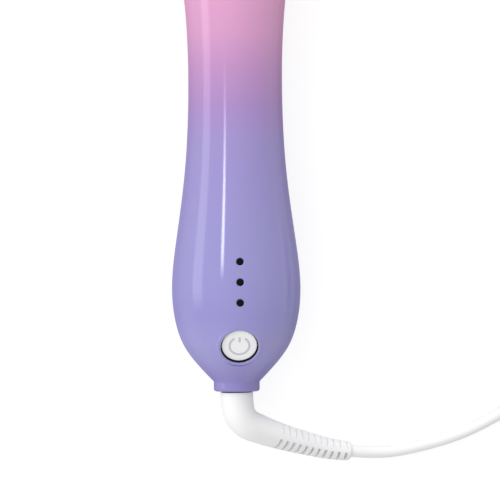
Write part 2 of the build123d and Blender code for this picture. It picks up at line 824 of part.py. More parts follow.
with BuildPart() as swivel_cup:
    extrude(ring(9.9, cup_radius, 6.4), amount=7.5)
    extrude(ring(17.4, cup_radius, 3.0), amount=1.0)
    for x in (-7.4, 7.4):
        extrude(plate(across(9.9, x), 3.0, 2.0), amount=6.4, mode=Mode.SUBTRACT)
save(swivel_cup.part, "swivel_cup")

with BuildPart() as swivel_contacts:
    for x in (-1, 1):
        for station in (11.5, 14.5):
            extrude(plate(across(station, x * 5.45), 0.7, 1.6), amount=1.2)
        extrude(plate(across(11.5, x * 5.95), 0.5, 1.6), amount=5.9)
save(swivel_contacts.part, "swivel_contacts")

# The boot leaves the spool, bends to the side and goes down to the floor in ever thinner rings
boot_corners = [
    at(-boot_gap),
    at(-11.0),
    at(-16.9, 14.6, -6.8),
    at(-21.2, 29.0, -14.0),
    at(-23.4, 38.3, -17.4),
    at(-24.0, 44.4, -18.9),
]
boot_bends = (10.0, 40.0, 40.0, 40.0)
boot_neck_radius = 6.2
boot_root_radius = 5.15
boot_tip_radius = 3.65
with BuildLine() as boot_line:
    FilletPolyline(*boot_corners, radius=boot_bends)
boot_path = boot_line.wire()
boot_length = boot_path.length
elbow_share = 0.42  # where the slotted part starts


def boot_radius(share):
    if share < elbow_share:
        return boot_neck_radius + (boot_root_radius - boot_neck_radius) * (share / elbow_share) ** 1.5
    done = (share - elbow_share) / (1 - elbow_share)
    return boot_root_radius + (boot_tip_radius - boot_root_radius) * done


def boot_plane(share, turn=0.0):
    """A plane square to the boot's middle line, whose y axis leans up by a turn."""
    along = boot_path % share
    side = along.cross(Vector(0, 0, 1)).normalized()
    plane = Plane(origin=boot_path @ share, x_dir=side, z_dir=along)
    return plane.rotated((0, 0, turn))


slot_rings = 11
slot_width = 1.05
slot_core = 2.5
slot_spine = 12.0  # degrees of solid between the four slots of a ring
slot_turn = 12.0
first_slot = 0.455
last_slot = 0.955
with BuildPart() as cord_boot:
    sections = []
    for k in range(13):
        share = k / 12
        sections.append(disc(boot_plane(share), boot_radius(share)))
    loft(sections)
    for k in range(slot_rings):
        share = first_slot + (last_slot - first_slot) * k / (slot_rings - 1)
        plane = boot_plane(share, slot_turn).offset(-slot_width / 2)
        with BuildSketch(plane):
            Circle(boot_radius(share) + 2)
            Circle(slot_core, mode=Mode.SUBTRACT)
            for turn in (0, 90):
                spine = 2 * boot_radius(share) * math.sin(math.radians(slot_spine / 2))
                Rectangle(30, spine, rotation=turn, mode=Mode.SUBTRACT)
        extrude(amount=slot_width, mode=Mode.SUBTRACT)
save(cord_boot.part, "cord_boot")

# The cord lies on the floor from the boot to its coil
cord_radius = cord_diameter / 2
floor = cord_radius - axis_height
coil_mean = 27.6
coil_pitch = 5.4
layer_pitch = 5.3
coil_layers = 4
coil_turns = 9 + 1 / 6
layer_turns = coil_turns / coil_layers
coil_outer = coil_mean + coil_pitch * layer_turns / 2
climb_turns = 0.5
coil_start_angle = math.radians(-60)
coil_middle = Vector(141.5, tail_y + 52.3, cord_radius)


def coil_path(turn):
    """The coil's middle line: layers wind in and out in turn, and climb where they reverse."""
    angle = coil_start_angle + 2 * math.pi * turn
    layer = min(int(turn / layer_turns), coil_layers - 1)
    done = turn / layer_turns - layer
    inwards = layer % 2 == 0
    radius = coil_outer - coil_pitch * layer_turns * (done if inwards else 1 - done)
    swelling = -coil_pitch if inwards else coil_pitch
    height = layer * layer_pitch
    climbing = 0.0
    for border in range(1, coil_layers):
        past = turn - border * layer_turns
        if abs(past) < climb_turns / 2:
            share = past / climb_turns + 0.5
            height = layer_pitch * (border - 1 + share**2 * (3 - 2 * share))
            climbing = layer_pitch * 6 * share * (1 - share) / climb_turns
            side = 1 if border % 2 else -1
            reversal = coil_outer - coil_pitch * layer_turns * (border % 2)
            radius = reversal + side * coil_pitch * (past**2 / climb_turns + climb_turns / 4)
            swelling = side * coil_pitch * 2 * past / climb_turns
    out = Vector(math.cos(angle), math.sin(angle), 0)
    on = Vector(-math.sin(angle), math.cos(angle), 0)
    heading = out * swelling + on * (2 * math.pi * radius) + Vector(0, 0, climbing)
    return coil_middle + out * radius + Vector(0, 0, height), heading.normalized()


quarter_turns = round(4 * coil_turns)
coil_wire = wound_wire(coil_path, coil_turns, quarter_turns, cord_diameter)
coil_entry, coil_exit = coil_wire @ 0, coil_wire @ 1
entry_heading, exit_heading = coil_wire % 0, coil_wire % 1
with BuildPart() as cord_coil:
    add(swept_tube(coil_wire, cord_radius))
save(cord_coil.part, "cord_coil")


def bends(corners):
    """The radius at each corner of a route: 0.45 of its shorter run over the tangent of half its turn."""
    radii = []
    for before, here, after in zip(corners, corners[1:], corners[2:]):
        arriving, leaving = here - before, after - here
        turn = math.radians(arriving.get_angle(leaving))
        radii.append(0.45 * min(arriving.length, leaving.length) / math.tan(turn / 2))
    return radii


def route_tube(corners, radius):
    """A tube along a route of straight runs joined by arcs, and its length."""
    with BuildLine() as line:
        FilletPolyline(*corners, radius=bends(corners))
    wire = line.wire()
    return swept_tube(wire, radius), wire.length


boot_end = boot_path @ 1
boot_heading = boot_path % 1
cord_run_corners = [
    boot_end,
    boot_end + boot_heading * ((cord_radius - boot_end.Z) / boot_heading.Z),
    at(-22.9, 70.0, floor),
    at(-18.0, 88.0, floor),
    at(-8.8, 105.5, floor),
    coil_entry - entry_heading * 28,
    coil_entry,
]
run_tube, run_length = route_tube(cord_run_corners, cord_radius)
with BuildPart() as cord_run:
    add(run_tube)
save(cord_run.part, "cord_run")

plug_axis = 8.6  # the plug lies on its flat side
plug_end = at(129.4, 161.7, plug_axis - axis_height)
cord_tail_corners = [
    coil_exit,
    coil_exit + exit_heading * 15,
    at(88.5, 172.4, 14.8 - axis_height),
    at(109.0, 168.3, plug_axis - axis_height + 0.8),
    plug_end,
]
tail_tube, tail_length = route_tube(cord_tail_corners, cord_radius)
with BuildPart() as cord_tail:
    add(tail_tube)
save(cord_tail.part, "cord_tail")

# A moulded plug with two flat blades, lying on its flat side
plug_heading = (plug_end - cord_tail_corners[-2]).normalized()
plug_direction = Vector(plug_heading.X, plug_heading.Y, 0).normalized()
plug_side = plug_direction.cross(Vector(0, 0, 1))
plug_relief_plane = Plane(origin=plug_end, x_dir=plug_side, z_dir=plug_heading)
plug_plane = Plane(origin=plug_end + plug_direction * 14, x_dir=plug_side, z_dir=plug_direction)
plug_width = 24.0
plug_height = 2 * plug_axis
plug_length = 24.0
blade_pitch = 12.7
blade_size = (1.5, 6.3)
blade_length = 17.0
with BuildPart() as plug_body:
    loft([disc(plug_relief_plane, 3.4), disc(plug_plane.offset(0.5), 6.4)])
    with BuildSketch(plug_plane):
        RectangleRounded(0.72 * plug_width, 0.72 * plug_height, 5.0)
    with BuildSketch(plug_plane.offset(10)):
        RectangleRounded(plug_width, plug_height, 5.0)
    loft()
    with BuildSketch(plug_plane.offset(10)):
        RectangleRounded(plug_width, plug_height, 5.0)
    extrude(amount=plug_length - 10)
save(plug_body.part, "plug_body")

with BuildPart() as plug_blades:
    for side in (-1, 1):
        with BuildSketch(plug_plane.offset(plug_length)):
            with Locations((side * blade_pitch / 2, 0)):
                Rectangle(*blade_size)
        extrude(amount=blade_length)
save(plug_blades.part, "plug_blades")

# Leads inside the handle: mains from the socket, pairs to the motor and the brushes, and a flat ribbon
lead_radius = 0.75
socket_top = board_top + 5
with BuildPart() as internal_leads:
    for side in (-1, 1):
        mains = [
            at(18.6, side * 4.6, -1.0),
            at(24.5, side * 4.8, -0.8),
            at(33.5, side * 7.0, -0.6),
            at(33.5, side * 7.0, socket_top),
        ]
        to_motor = [
            at(82.5, side * 6.4, socket_top),
            at(82.5, side * 6.4, 0.2),
            at(98.0, side * 5.4, 3.0),
            at(motor_span[0] - 0.3, side * 6.0, 2.6),
        ]
        rise = side * (lead_radius + 0.05)
        to_brushes = [
            at(84.9, -6.6, board_top + 2.5 + rise),
            at(98.0, -7.0, -2.2 + rise),
            at(107.5, -8.2, -0.8 + rise),
            at(113.0, -13.1, rise),
            at(136.0, -13.4, rise),
            at(146.0, -14.9, rise),
            at(163.0, -14.8, rise),
            at(167.1, -13.9, rise),
        ]
        for corners in (mains, to_motor, to_brushes):
            tube, length = route_tube(corners, lead_radius)
            add(tube)
    ribbon = [(53.1, 16.2), (62, 15.0), (84, 13.2), (112, 12.4), (138, 12.4), (144.5, 15.0), (163.5, 15.0),
              (168.5, 11.6)]
    ribbon_thick = 0.5
    with BuildSketch(sideways(-3.4)):
        with BuildLine():
            Polyline(*ribbon, *[(station, rise - ribbon_thick) for station, rise in reversed(ribbon)],
                     close=True)
        make_face()
    extrude(amount=6.8)
save(internal_leads.part, "internal_leads")

print("boot length", round(boot_length, 2))
print("least gap, coil", round(least_gap(coil_wire, cord_diameter), 2))
print("least gap, spring", round(least_gap(spring_wire_path, spring_wire), 2))
for name, corners in (("cord run", cord_run_corners), ("cord tail", cord_tail_corners)):
    runs = [round((b - a).length, 1) for a, b in zip(corners, corners[1:])]
    print(name, "runs", runs, "radii", [round(r, 1) for r in bends(corners)])
section = math.pi * cord_radius**2
for name, tube, length in (
    ("cord run", cord_run.part, run_length),
    ("cord coil", cord_coil.part, coil_wire.length),
    ("cord tail", cord_tail.part, tail_length),
):
    print(name, "length", round(length, 1), "volume over section", round(tube.volume / section, 1))
print("whole cord", round(run_length + coil_wire.length + tail_length, 1), "of", cord_length)
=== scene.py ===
# %% [markdown]
# # A rotating curling iron, dressed cell by cell
# The real thing is a round waisted handle in two lacquered halves, a few push buttons, a heated
# barrel with a sprung clamp, and a swivel cord. Its sizes come from a packed CAD model, which this
# script loads as a fixed frame. Every cell below adds one piece or one finish on top of it. Lengths
# are in metres, with +Y along the iron towards its tip and +Z up, out of the side with the buttons.

import json
import math

import bmesh
import bpy
from mathutils import Matrix, Vector

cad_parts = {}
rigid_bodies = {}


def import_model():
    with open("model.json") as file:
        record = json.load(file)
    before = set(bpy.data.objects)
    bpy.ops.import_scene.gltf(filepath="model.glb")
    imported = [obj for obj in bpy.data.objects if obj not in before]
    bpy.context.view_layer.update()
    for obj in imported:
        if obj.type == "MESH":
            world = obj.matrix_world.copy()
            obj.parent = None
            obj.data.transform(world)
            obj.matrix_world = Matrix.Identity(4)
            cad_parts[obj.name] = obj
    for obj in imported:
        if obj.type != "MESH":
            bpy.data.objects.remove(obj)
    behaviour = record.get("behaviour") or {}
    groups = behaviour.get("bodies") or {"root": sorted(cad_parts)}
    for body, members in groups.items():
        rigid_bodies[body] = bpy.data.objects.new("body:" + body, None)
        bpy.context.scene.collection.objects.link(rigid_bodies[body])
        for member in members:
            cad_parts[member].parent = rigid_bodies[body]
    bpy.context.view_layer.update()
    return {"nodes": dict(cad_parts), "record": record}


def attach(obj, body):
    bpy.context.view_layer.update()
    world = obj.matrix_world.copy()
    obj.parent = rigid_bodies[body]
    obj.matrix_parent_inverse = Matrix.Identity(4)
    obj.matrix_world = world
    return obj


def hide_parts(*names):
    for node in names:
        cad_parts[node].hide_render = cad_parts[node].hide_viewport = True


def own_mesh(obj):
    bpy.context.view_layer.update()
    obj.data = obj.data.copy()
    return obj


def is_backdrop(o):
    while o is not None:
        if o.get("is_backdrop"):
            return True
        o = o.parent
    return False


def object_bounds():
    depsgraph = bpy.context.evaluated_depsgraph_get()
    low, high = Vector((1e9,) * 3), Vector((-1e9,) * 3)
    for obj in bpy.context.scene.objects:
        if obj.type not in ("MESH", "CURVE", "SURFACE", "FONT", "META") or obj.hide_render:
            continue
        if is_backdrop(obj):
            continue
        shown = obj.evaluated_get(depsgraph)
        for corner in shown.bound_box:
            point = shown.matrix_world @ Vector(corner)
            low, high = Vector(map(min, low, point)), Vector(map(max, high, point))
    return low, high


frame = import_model()
cad_nodes = frame["nodes"]

# %% [markdown]
# ## Stations
# On a long turned object a place is best named by how far along it lies and how far off its axis.
# The maker's drawing counts stations from the tail end, so one helper turns a station, a sideways
# step and a rise, all in millimetres, into a point of the scene. The tilted axis of the power button
# is named here too, because several pieces are turned round it.

# %% Points named by station
MM = 0.001
TAIL_Y = -184.0
AXIS_RISE = 24.1
LONG_AXIS = Vector((0, 1, 0))
UP = Vector((0, 0, 1))


def at(station, x=0.0, rise=0.0):
    """The point at a station, beside and above the iron's axis, from millimetres."""
    return Vector((x, TAIL_Y + station, AXIS_RISE + rise)) * MM


def placement(origin, x, y, z):
    """The matrix that sets something down at a point, with its own axes along the three given."""
    return Matrix.Translation(origin) @ Matrix((x, y, z)).transposed().to_4x4()


POWER_TILT = math.radians(30)
POWER_CENTRE = at(16.5, 0, 19.25)
POWER_AXIS = Vector((0, -math.sin(POWER_TILT), math.cos(POWER_TILT)))
print("power button at", [round(a, 4) for a in POWER_CENTRE])

# %% [markdown]
# ## Camera
# The photograph looks straight down on the iron from far away with a long lens, a few degrees from
# its left, so parallel edges stay nearly parallel. The camera's three axes are written out, because
# the small lean and roll are easier to read there than as angles.

# %% Camera at the photograph's angle
CAMERA_DISTANCE = 1.2
CAMERA_LEAN = math.radians(3.8)
CAMERA_ROLL = math.radians(-0.30)
CAMERA_LENS, SENSOR_WIDTH = 230.4, 36
LOOKED_AT = Vector((5.25, -131.125, 24.1)) * MM

back = Vector((-math.sin(CAMERA_LEAN), 0, math.cos(CAMERA_LEAN)))
level_right = Vector((math.cos(CAMERA_LEAN), 0, math.sin(CAMERA_LEAN)))
right = level_right * math.cos(CAMERA_ROLL) + LONG_AXIS * math.sin(CAMERA_ROLL)
up = LONG_AXIS * math.cos(CAMERA_ROLL) - level_right * math.sin(CAMERA_ROLL)
camera_data = bpy.data.cameras.new("photo_camera")
camera_data.sensor_width = SENSOR_WIDTH
camera_data.lens = CAMERA_LENS
camera = bpy.data.objects.new("photo_camera", camera_data)
camera.matrix_world = placement(LOOKED_AT + back * CAMERA_DISTANCE, right, up, back)
bpy.context.scene.collection.objects.link(camera)
bpy.context.scene.camera = camera
bpy.context.scene.view_settings.view_transform = "Standard"
print("camera at", [round(a, 3) for a in camera.matrix_world.translation])

# %% [markdown]
# ## Node trees in short
# Lamps, materials and Geometry Nodes are all node trees, and code that builds them is mostly the
# same three steps: make a node, set it, link it. One call does all three here, so that each tree
# below reads like the list of its nodes.

# %% A tree in the making


class Tree:
    """A node tree in the making."""

    def __init__(self, tree):
        self.tree = tree

    def put(self, socket, value):
        """Links a socket to another node's output, or gives it a plain value."""
        if isinstance(value, bpy.types.NodeSocket):
            self.tree.links.new(value, socket)
        else:
            socket.default_value = value

    def add(self, kind, inputs=None, **settings):
        """A new node with its settings and its inputs."""
        made = self.tree.nodes.new(kind)
        for key, value in settings.items():
            setattr(made, key, value)
        for key, value in (inputs or {}).items():
            self.put(made.inputs[key], value)
        return made

    def calc(self, operation, *values):
        """The result of one step of arithmetic."""
        return self.add("ShaderNodeMath", dict(enumerate(values)), operation=operation).outputs[0]


def emptied(owner):
    """The tree of a world, lamp or material, without the nodes that it starts with."""
    owner.use_nodes = True
    owner.node_tree.nodes.clear()
    return Tree(owner.node_tree)


def node_group(name, kind, takes, gives):
    """A node group whose sockets are each a name, a kind and perhaps a value."""
    made = Tree(bpy.data.node_groups.new(name, kind))
    made.ids = {}
    for way, sockets in (("INPUT", takes), ("OUTPUT", gives)):
        for label, socket_kind, *value in sockets:
            socket = made.tree.interface.new_socket(name=label, in_out=way,
                                                    socket_type="NodeSocket" + socket_kind)
            if value:
                socket.default_value = value[0]
            if way == "INPUT":
                made.ids[label] = socket.identifier
    made.given = made.add("NodeGroupInput").outputs
    made.result = made.add("NodeGroupOutput").inputs
    return made


print("a tree's calls", [call for call in vars(Tree) if not call.startswith("_")])

# %% [markdown]
# ## Floor and light
# The picture is a cut-out on pure white, with two reflections that draw the gloss: a thin bright
# line left of the middle and a broad soft band further left, while the right side falls darker. So
# the stage is a white floor and a pale world that is a little brighter at the left, a long narrow
# strip lamp high on the left for the line, and a tall soft panel standing at the left for the band.
# Two large panels stand far beyond the tip: a high one for the arc of light on the button's ring,
# and a low one a little to the right, where the iron throws no shadow on the white boot and cord, so
# that only their lower edges are grey. All of it together stays near a level of 1 on the brightest
# faces, so that a colour renders about as it is written and no white clips. A plain area lamp ends
# in a hard edge, which gloss would show, so each lamp's own nodes fade it towards its edges.

# %% Floor and world
WORLD_LIGHT, SEEN_LIGHT = 0.81, 1.0
WORLD_SLOPE = (-0.38, 0.0, 0.0)
PAPER_GREY, PAPER_GLOW = 0.4, 0.72
FLOOR_HALF = 4.0


def seen_share(tree):
    """1 for the rays that see the background: from the camera, in a reflection or through glass."""
    rays = tree.add("ShaderNodeLightPath").outputs
    seen = tree.calc("MAXIMUM", rays["Is Camera Ray"], rays["Is Glossy Ray"])
    return tree.calc("MAXIMUM", seen, rays["Is Transmission Ray"])


world = bpy.data.worlds.new("pale_studio")
bpy.context.scene.world = world
tree = emptied(world)
direction = tree.add("ShaderNodeTexCoord").outputs["Generated"]
slope = tree.add("ShaderNodeVectorMath", {0: direction, 1: WORLD_SLOPE}, operation="DOT_PRODUCT")
level = tree.calc("ADD", slope.outputs["Value"], WORLD_LIGHT)
strength = tree.add("ShaderNodeMix", {"Factor": seen_share(tree), "A": level, "B": SEEN_LIGHT})
air = tree.add("ShaderNodeBackground", {"Color": (1, 1, 1, 1), "Strength": strength.outputs["Result"]})
tree.add("ShaderNodeOutputWorld", {"Surface": air.outputs[0]})

corners = [(x * FLOOR_HALF, y * FLOOR_HALF, 0) for x, y in ((-1, -1), (1, -1), (1, 1), (-1, 1))]
floor_mesh = bpy.data.meshes.new("floor")
floor_mesh.from_pydata(corners, [], [(0, 1, 2, 3)])
floor = bpy.data.objects.new("floor", floor_mesh)
bpy.context.scene.collection.objects.link(floor)
floor_paint = bpy.data.materials.new("white_paper")
tree = emptied(floor_paint)
paper = tree.add("ShaderNodeBsdfDiffuse", {"Color": (PAPER_GREY, PAPER_GREY, PAPER_GREY, 1)})
glow = tree.add("ShaderNodeEmission", {"Strength": tree.calc("MULTIPLY", seen_share(tree), PAPER_GLOW)})
both = tree.add("ShaderNodeAddShader", {0: paper.outputs[0], 1: glow.outputs[0]})
tree.add("ShaderNodeOutputMaterial", {"Surface": both.outputs[0]})
floor_mesh.materials.append(floor_paint)
floor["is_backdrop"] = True
print("floor and world", floor.name, world.name)

# %% Lamps


def soft_lamp(name, centre, aim, size, power, fade):
    """A rectangular area lamp that faces a point, its second size along the iron, and that fades
    over the given shares of its sizes: across, at one end and at the other."""
    data = bpy.data.lights.new(name, "AREA")
    data.shape = "RECTANGLE"
    data.size, data.size_y = size
    data.energy = power
    tree = emptied(data)
    where = tree.add("ShaderNodeNewGeometry").outputs["Parametric"]
    place = tree.add("ShaderNodeSeparateXYZ", {0: where}).outputs
    across, first_end, last_end = fade
    strength = 1.0
    for side, low, high in ((0, 0.0, across), (0, 1.0, 1 - across),
                            (1, 0.0, first_end), (1, 1.0, 1 - last_end)):
        edge = tree.add("ShaderNodeMapRange", {"Value": place[side], "From Min": low, "From Max": high},
                        interpolation_type="SMOOTHSTEP")
        strength = tree.calc("MULTIPLY", strength, edge.outputs["Result"])
    glow = tree.add("ShaderNodeEmission", {"Strength": strength})
    tree.add("ShaderNodeOutputLight", {"Surface": glow.outputs[0]})
    lamp = bpy.data.objects.new(name, data)
    z = (Vector(centre) - Vector(aim)).normalized()
    x = LONG_AXIS.cross(z).normalized()
    lamp.matrix_world = placement(centre, x, z.cross(x), z)
    bpy.context.scene.collection.objects.link(lamp)


soft_lamp("line_strip", (-0.62, 0.21, 1.15), (0, -0.07, 0.02), (0.2, 0.56), 4.6, (0.4, 0.6, 0.1))
soft_lamp("left_panel", (-1.2, -0.02, 0.31), (0, -0.02, 0.31), (0.62, 0.89), 3.2, (0.25, 0.35, 0.2))
soft_lamp("far_panel", (-0.91, 2.8, 1.86), (0, -0.1, 0.02), (1.6, 1.6), 24.0, (0.3, 0.3, 0.3))
soft_lamp("low_panel", (0.7, 3.05, 1.35), (0, -0.1, 0.02), (1.6, 1.6), 70.0, (0.3, 0.3, 0.3))

# %% [markdown]
# ## Finishes
# Most of the iron is moulded plastic. Seen close, a moulding is never one flat value: the gloss
# varies a little where it was handled, and the surface has a very fine unevenness. Two small node
# groups say that once, for every plastic and for every drawn or turned metal, and each material
# places them with its own numbers. The groups put out only values that change over the surface.

# %% Shared node groups for surfaces


def moulding_group():
    """Roughness that varies softly, and a fine height, for moulded plastic and rubber."""
    tree = node_group("moulded_surface", "ShaderNodeTree", (
        ("Roughness", "Float", 0.4), ("Spread", "Float", 0.05), ("Grain Size", "Float", 0.0006)),
        (("Roughness", "Float"), ("Height", "Float")))
    place = tree.add("ShaderNodeTexCoord").outputs["Object"]
    handled = tree.add("ShaderNodeTexNoise", {"Vector": place, "Scale": 70, "Detail": 4})
    centred = tree.calc("SUBTRACT", handled.outputs["Fac"], 0.5)
    varied = tree.calc("MULTIPLY_ADD", centred, tree.given["Spread"], tree.given["Roughness"])
    fineness = tree.calc("DIVIDE", 1.0, tree.given["Grain Size"])
    grain = tree.add("ShaderNodeTexNoise", {"Vector": place, "Scale": fineness, "Detail": 2})
    tree.put(tree.result["Roughness"], varied)
    tree.put(tree.result["Height"], grain.outputs["Fac"])
    return tree


def drawn_metal_group():
    """Fine lines along or around a metal piece: roughness and height."""
    tree = node_group("drawn_metal", "ShaderNodeTree", (
        ("Roughness", "Float", 0.3), ("Spread", "Float", 0.15), ("Stretch", "Vector", (4000, 60, 4000))),
        (("Roughness", "Float"), ("Height", "Float")))
    place = tree.add("ShaderNodeTexCoord").outputs["Object"]
    stretched = tree.add("ShaderNodeVectorMath", {0: place, 1: tree.given["Stretch"]},
                         operation="MULTIPLY")
    lines = tree.add("ShaderNodeTexNoise", {"Vector": stretched.outputs[0], "Scale": 1, "Detail": 3})
    centred = tree.calc("SUBTRACT", lines.outputs["Fac"], 0.5)
    varied = tree.calc("MULTIPLY_ADD", centred, tree.given["Spread"], tree.given["Roughness"])
    tree.put(tree.result["Roughness"], varied)
    tree.put(tree.result["Height"], lines.outputs["Fac"])
    return tree


MOULDED = moulding_group()
DRAWN = drawn_metal_group()
print("node groups", [g.name for g in bpy.data.node_groups])

# %% Materials made from the groups
COAT_IOR, COAT_ROUGHNESS = 1.5, 0.03
BUMP_HEIGHT = 0.0001


def from_hex(code):
    """The linear colour of a code as colour pickers show it, such as 9A90CC."""
    parts = [int(code[k:k + 2], 16) / 255 for k in (0, 2, 4)]
    return tuple(p / 12.92 if p < 0.04045 else ((p + 0.055) / 1.055) ** 2.4 for p in parts)


def surface(name, texture_group, values, colour, bump, coat=0.0, metallic=0.0, gloss_level=0.5):
    """A material whose roughness and bump come from a group."""
    made = bpy.data.materials.new(name)
    tree = emptied(made)
    texture = tree.add("ShaderNodeGroup", values, node_tree=texture_group.tree)
    raised = tree.add("ShaderNodeBump", {"Strength": bump, "Distance": BUMP_HEIGHT,
                                         "Height": texture.outputs["Height"]})
    shader = tree.add("ShaderNodeBsdfPrincipled", {
        "Base Color": (*from_hex(colour), 1), "Metallic": metallic, "Coat Weight": coat,
        "Coat Roughness": COAT_ROUGHNESS, "Coat IOR": COAT_IOR, "Specular IOR Level": gloss_level,
        "Roughness": texture.outputs["Roughness"], "Normal": raised.outputs["Normal"]})
    tree.add("ShaderNodeOutputMaterial", {"Surface": shader.outputs[0]})
    return made


def plastic(name, colour, roughness, grain=0.0006, bump=0.05, coat=0.0, spread=0.06, gloss_level=0.5):
    """A moulded material: the grain is its size in metres."""
    return surface(name, MOULDED, {"Roughness": roughness, "Spread": spread, "Grain Size": grain},
                   colour, bump, coat, gloss_level=gloss_level)


def metal(name, colour, roughness, stretch=(4000, 60, 4000), bump=0.1, spread=0.15):
    """A drawn or turned material: its lines run along the axis with the smallest stretch."""
    return surface(name, DRAWN, {"Roughness": roughness, "Spread": spread, "Stretch": stretch},
                   colour, bump, metallic=1.0)


print("9288C6 in linear light", [round(part, 3) for part in from_hex("9288C6")])

# %% [markdown]
# ## Lacquer that changes colour
# The handle is one glossy lacquer that goes from violet at the tail to pink past the waist and on to
# peach. It could be painted on a map, but the change runs straight along the iron, so the
# object's own Y coordinate through a colour ramp is enough, and it lines up over both halves. The
# ramp's lighter stops at stations 12 to 18 are painted light: a lift over the tail's shoulder,
# which faces away from the lamps and would render darker. All the lacquer's gloss is in a clear
# coat, whose weight falls towards the rim, where a plain Fresnel coat would show too much of the
# white table.

# %% Ombre lacquer
# The stops at 12 and 18 are painted light: a lighter band over the tail's shoulder, where shade falls.
OMBRE_AND_PAINTED_LIFT = ((0, "8E85C5"), (5, "8E85C5"), (12, "9B95D1"), (18, "9D97D1"), (28, "938ECB"),
         (45, "938DC7"), (60, "928CC5"), (76, "948AC5"), (92, "978AC4"), (106, "A484BF"),
         (120, "B989BD"), (134, "D196C2"), (150, "DE9CC4"), (185, "E9A2B0"), (220, "F2B2A0"))
OMBRE_END = 220


def ombre_lacquer(name, rim_gloss):
    """The changing colour, with a painted lift at the tail's shoulder, under a clear coat whose weight
    falls to a share at the rim.
    """
    made = plastic(name, "9288C6", 0.5, grain=0.004, bump=0.002, coat=1.0, spread=0.03,
                   gloss_level=0.0)
    tree = Tree(made.node_tree)
    place = tree.add("ShaderNodeTexCoord").outputs["Object"]
    along = tree.add("ShaderNodeSeparateXYZ", {0: place}).outputs["Y"]
    share = tree.add("ShaderNodeMapRange", {"Value": along, "From Min": at(0).y,
                                            "From Max": at(OMBRE_END).y})
    ramp = tree.add("ShaderNodeValToRGB", {"Fac": share.outputs["Result"]})
    stops = ramp.color_ramp.elements
    while len(stops) < len(OMBRE_AND_PAINTED_LIFT):
        stops.new(0.5)
    for stop, (station, _) in zip(stops, OMBRE_AND_PAINTED_LIFT):
        stop.position = station / OMBRE_END
    for stop, (_, colour) in zip(stops, OMBRE_AND_PAINTED_LIFT):
        stop.color = (*from_hex(colour), 1)
    facing = tree.add("ShaderNodeLayerWeight", {"Blend": 0.5}).outputs["Facing"]
    gloss = tree.add("ShaderNodeMapRange", {"Value": facing, "From Min": 0.35, "From Max": 0.65,
                                            "To Min": 1.0, "To Max": rim_gloss})
    shader = next(x for x in made.node_tree.nodes if x.type == "BSDF_PRINCIPLED")
    tree.put(shader.inputs["Base Color"], ramp.outputs["Color"])
    tree.put(shader.inputs["Coat Weight"], gloss.outputs["Result"])
    return made


LACQUER = ombre_lacquer("ombre_lacquer", 0.2)
RING_LACQUER = ombre_lacquer("ombre_lacquer_ring", 1.0)
print("lacquer stops", len(OMBRE_AND_PAINTED_LIFT))

# %% [markdown]
# ## Turned pieces
# The handle, the barrel and the cool tip are all turned: one outline, spun round the iron's axis.
# Blender's Screw modifier could do that, but a Geometry Nodes tree can also spin just half a turn
# and close the two cut faces, which is what a shell in two halves needs. The tree lays a grid whose
# rows are the outline's points and whose columns are angles, moves each point to its place, adds
# the end faces and merges what coincides.

# %% The turning tree
WELD = 1e-6


def finished(tree, geometry):
    """Ends a tree: the geometry made real, in the material that the tree is given."""
    real = tree.add("GeometryNodeRealizeInstances", {0: geometry})
    painted = tree.add("GeometryNodeSetMaterial", {"Geometry": real.outputs[0],
                                                   "Material": tree.given["Material"]})
    tree.put(tree.result[0], painted.outputs[0])
    return tree


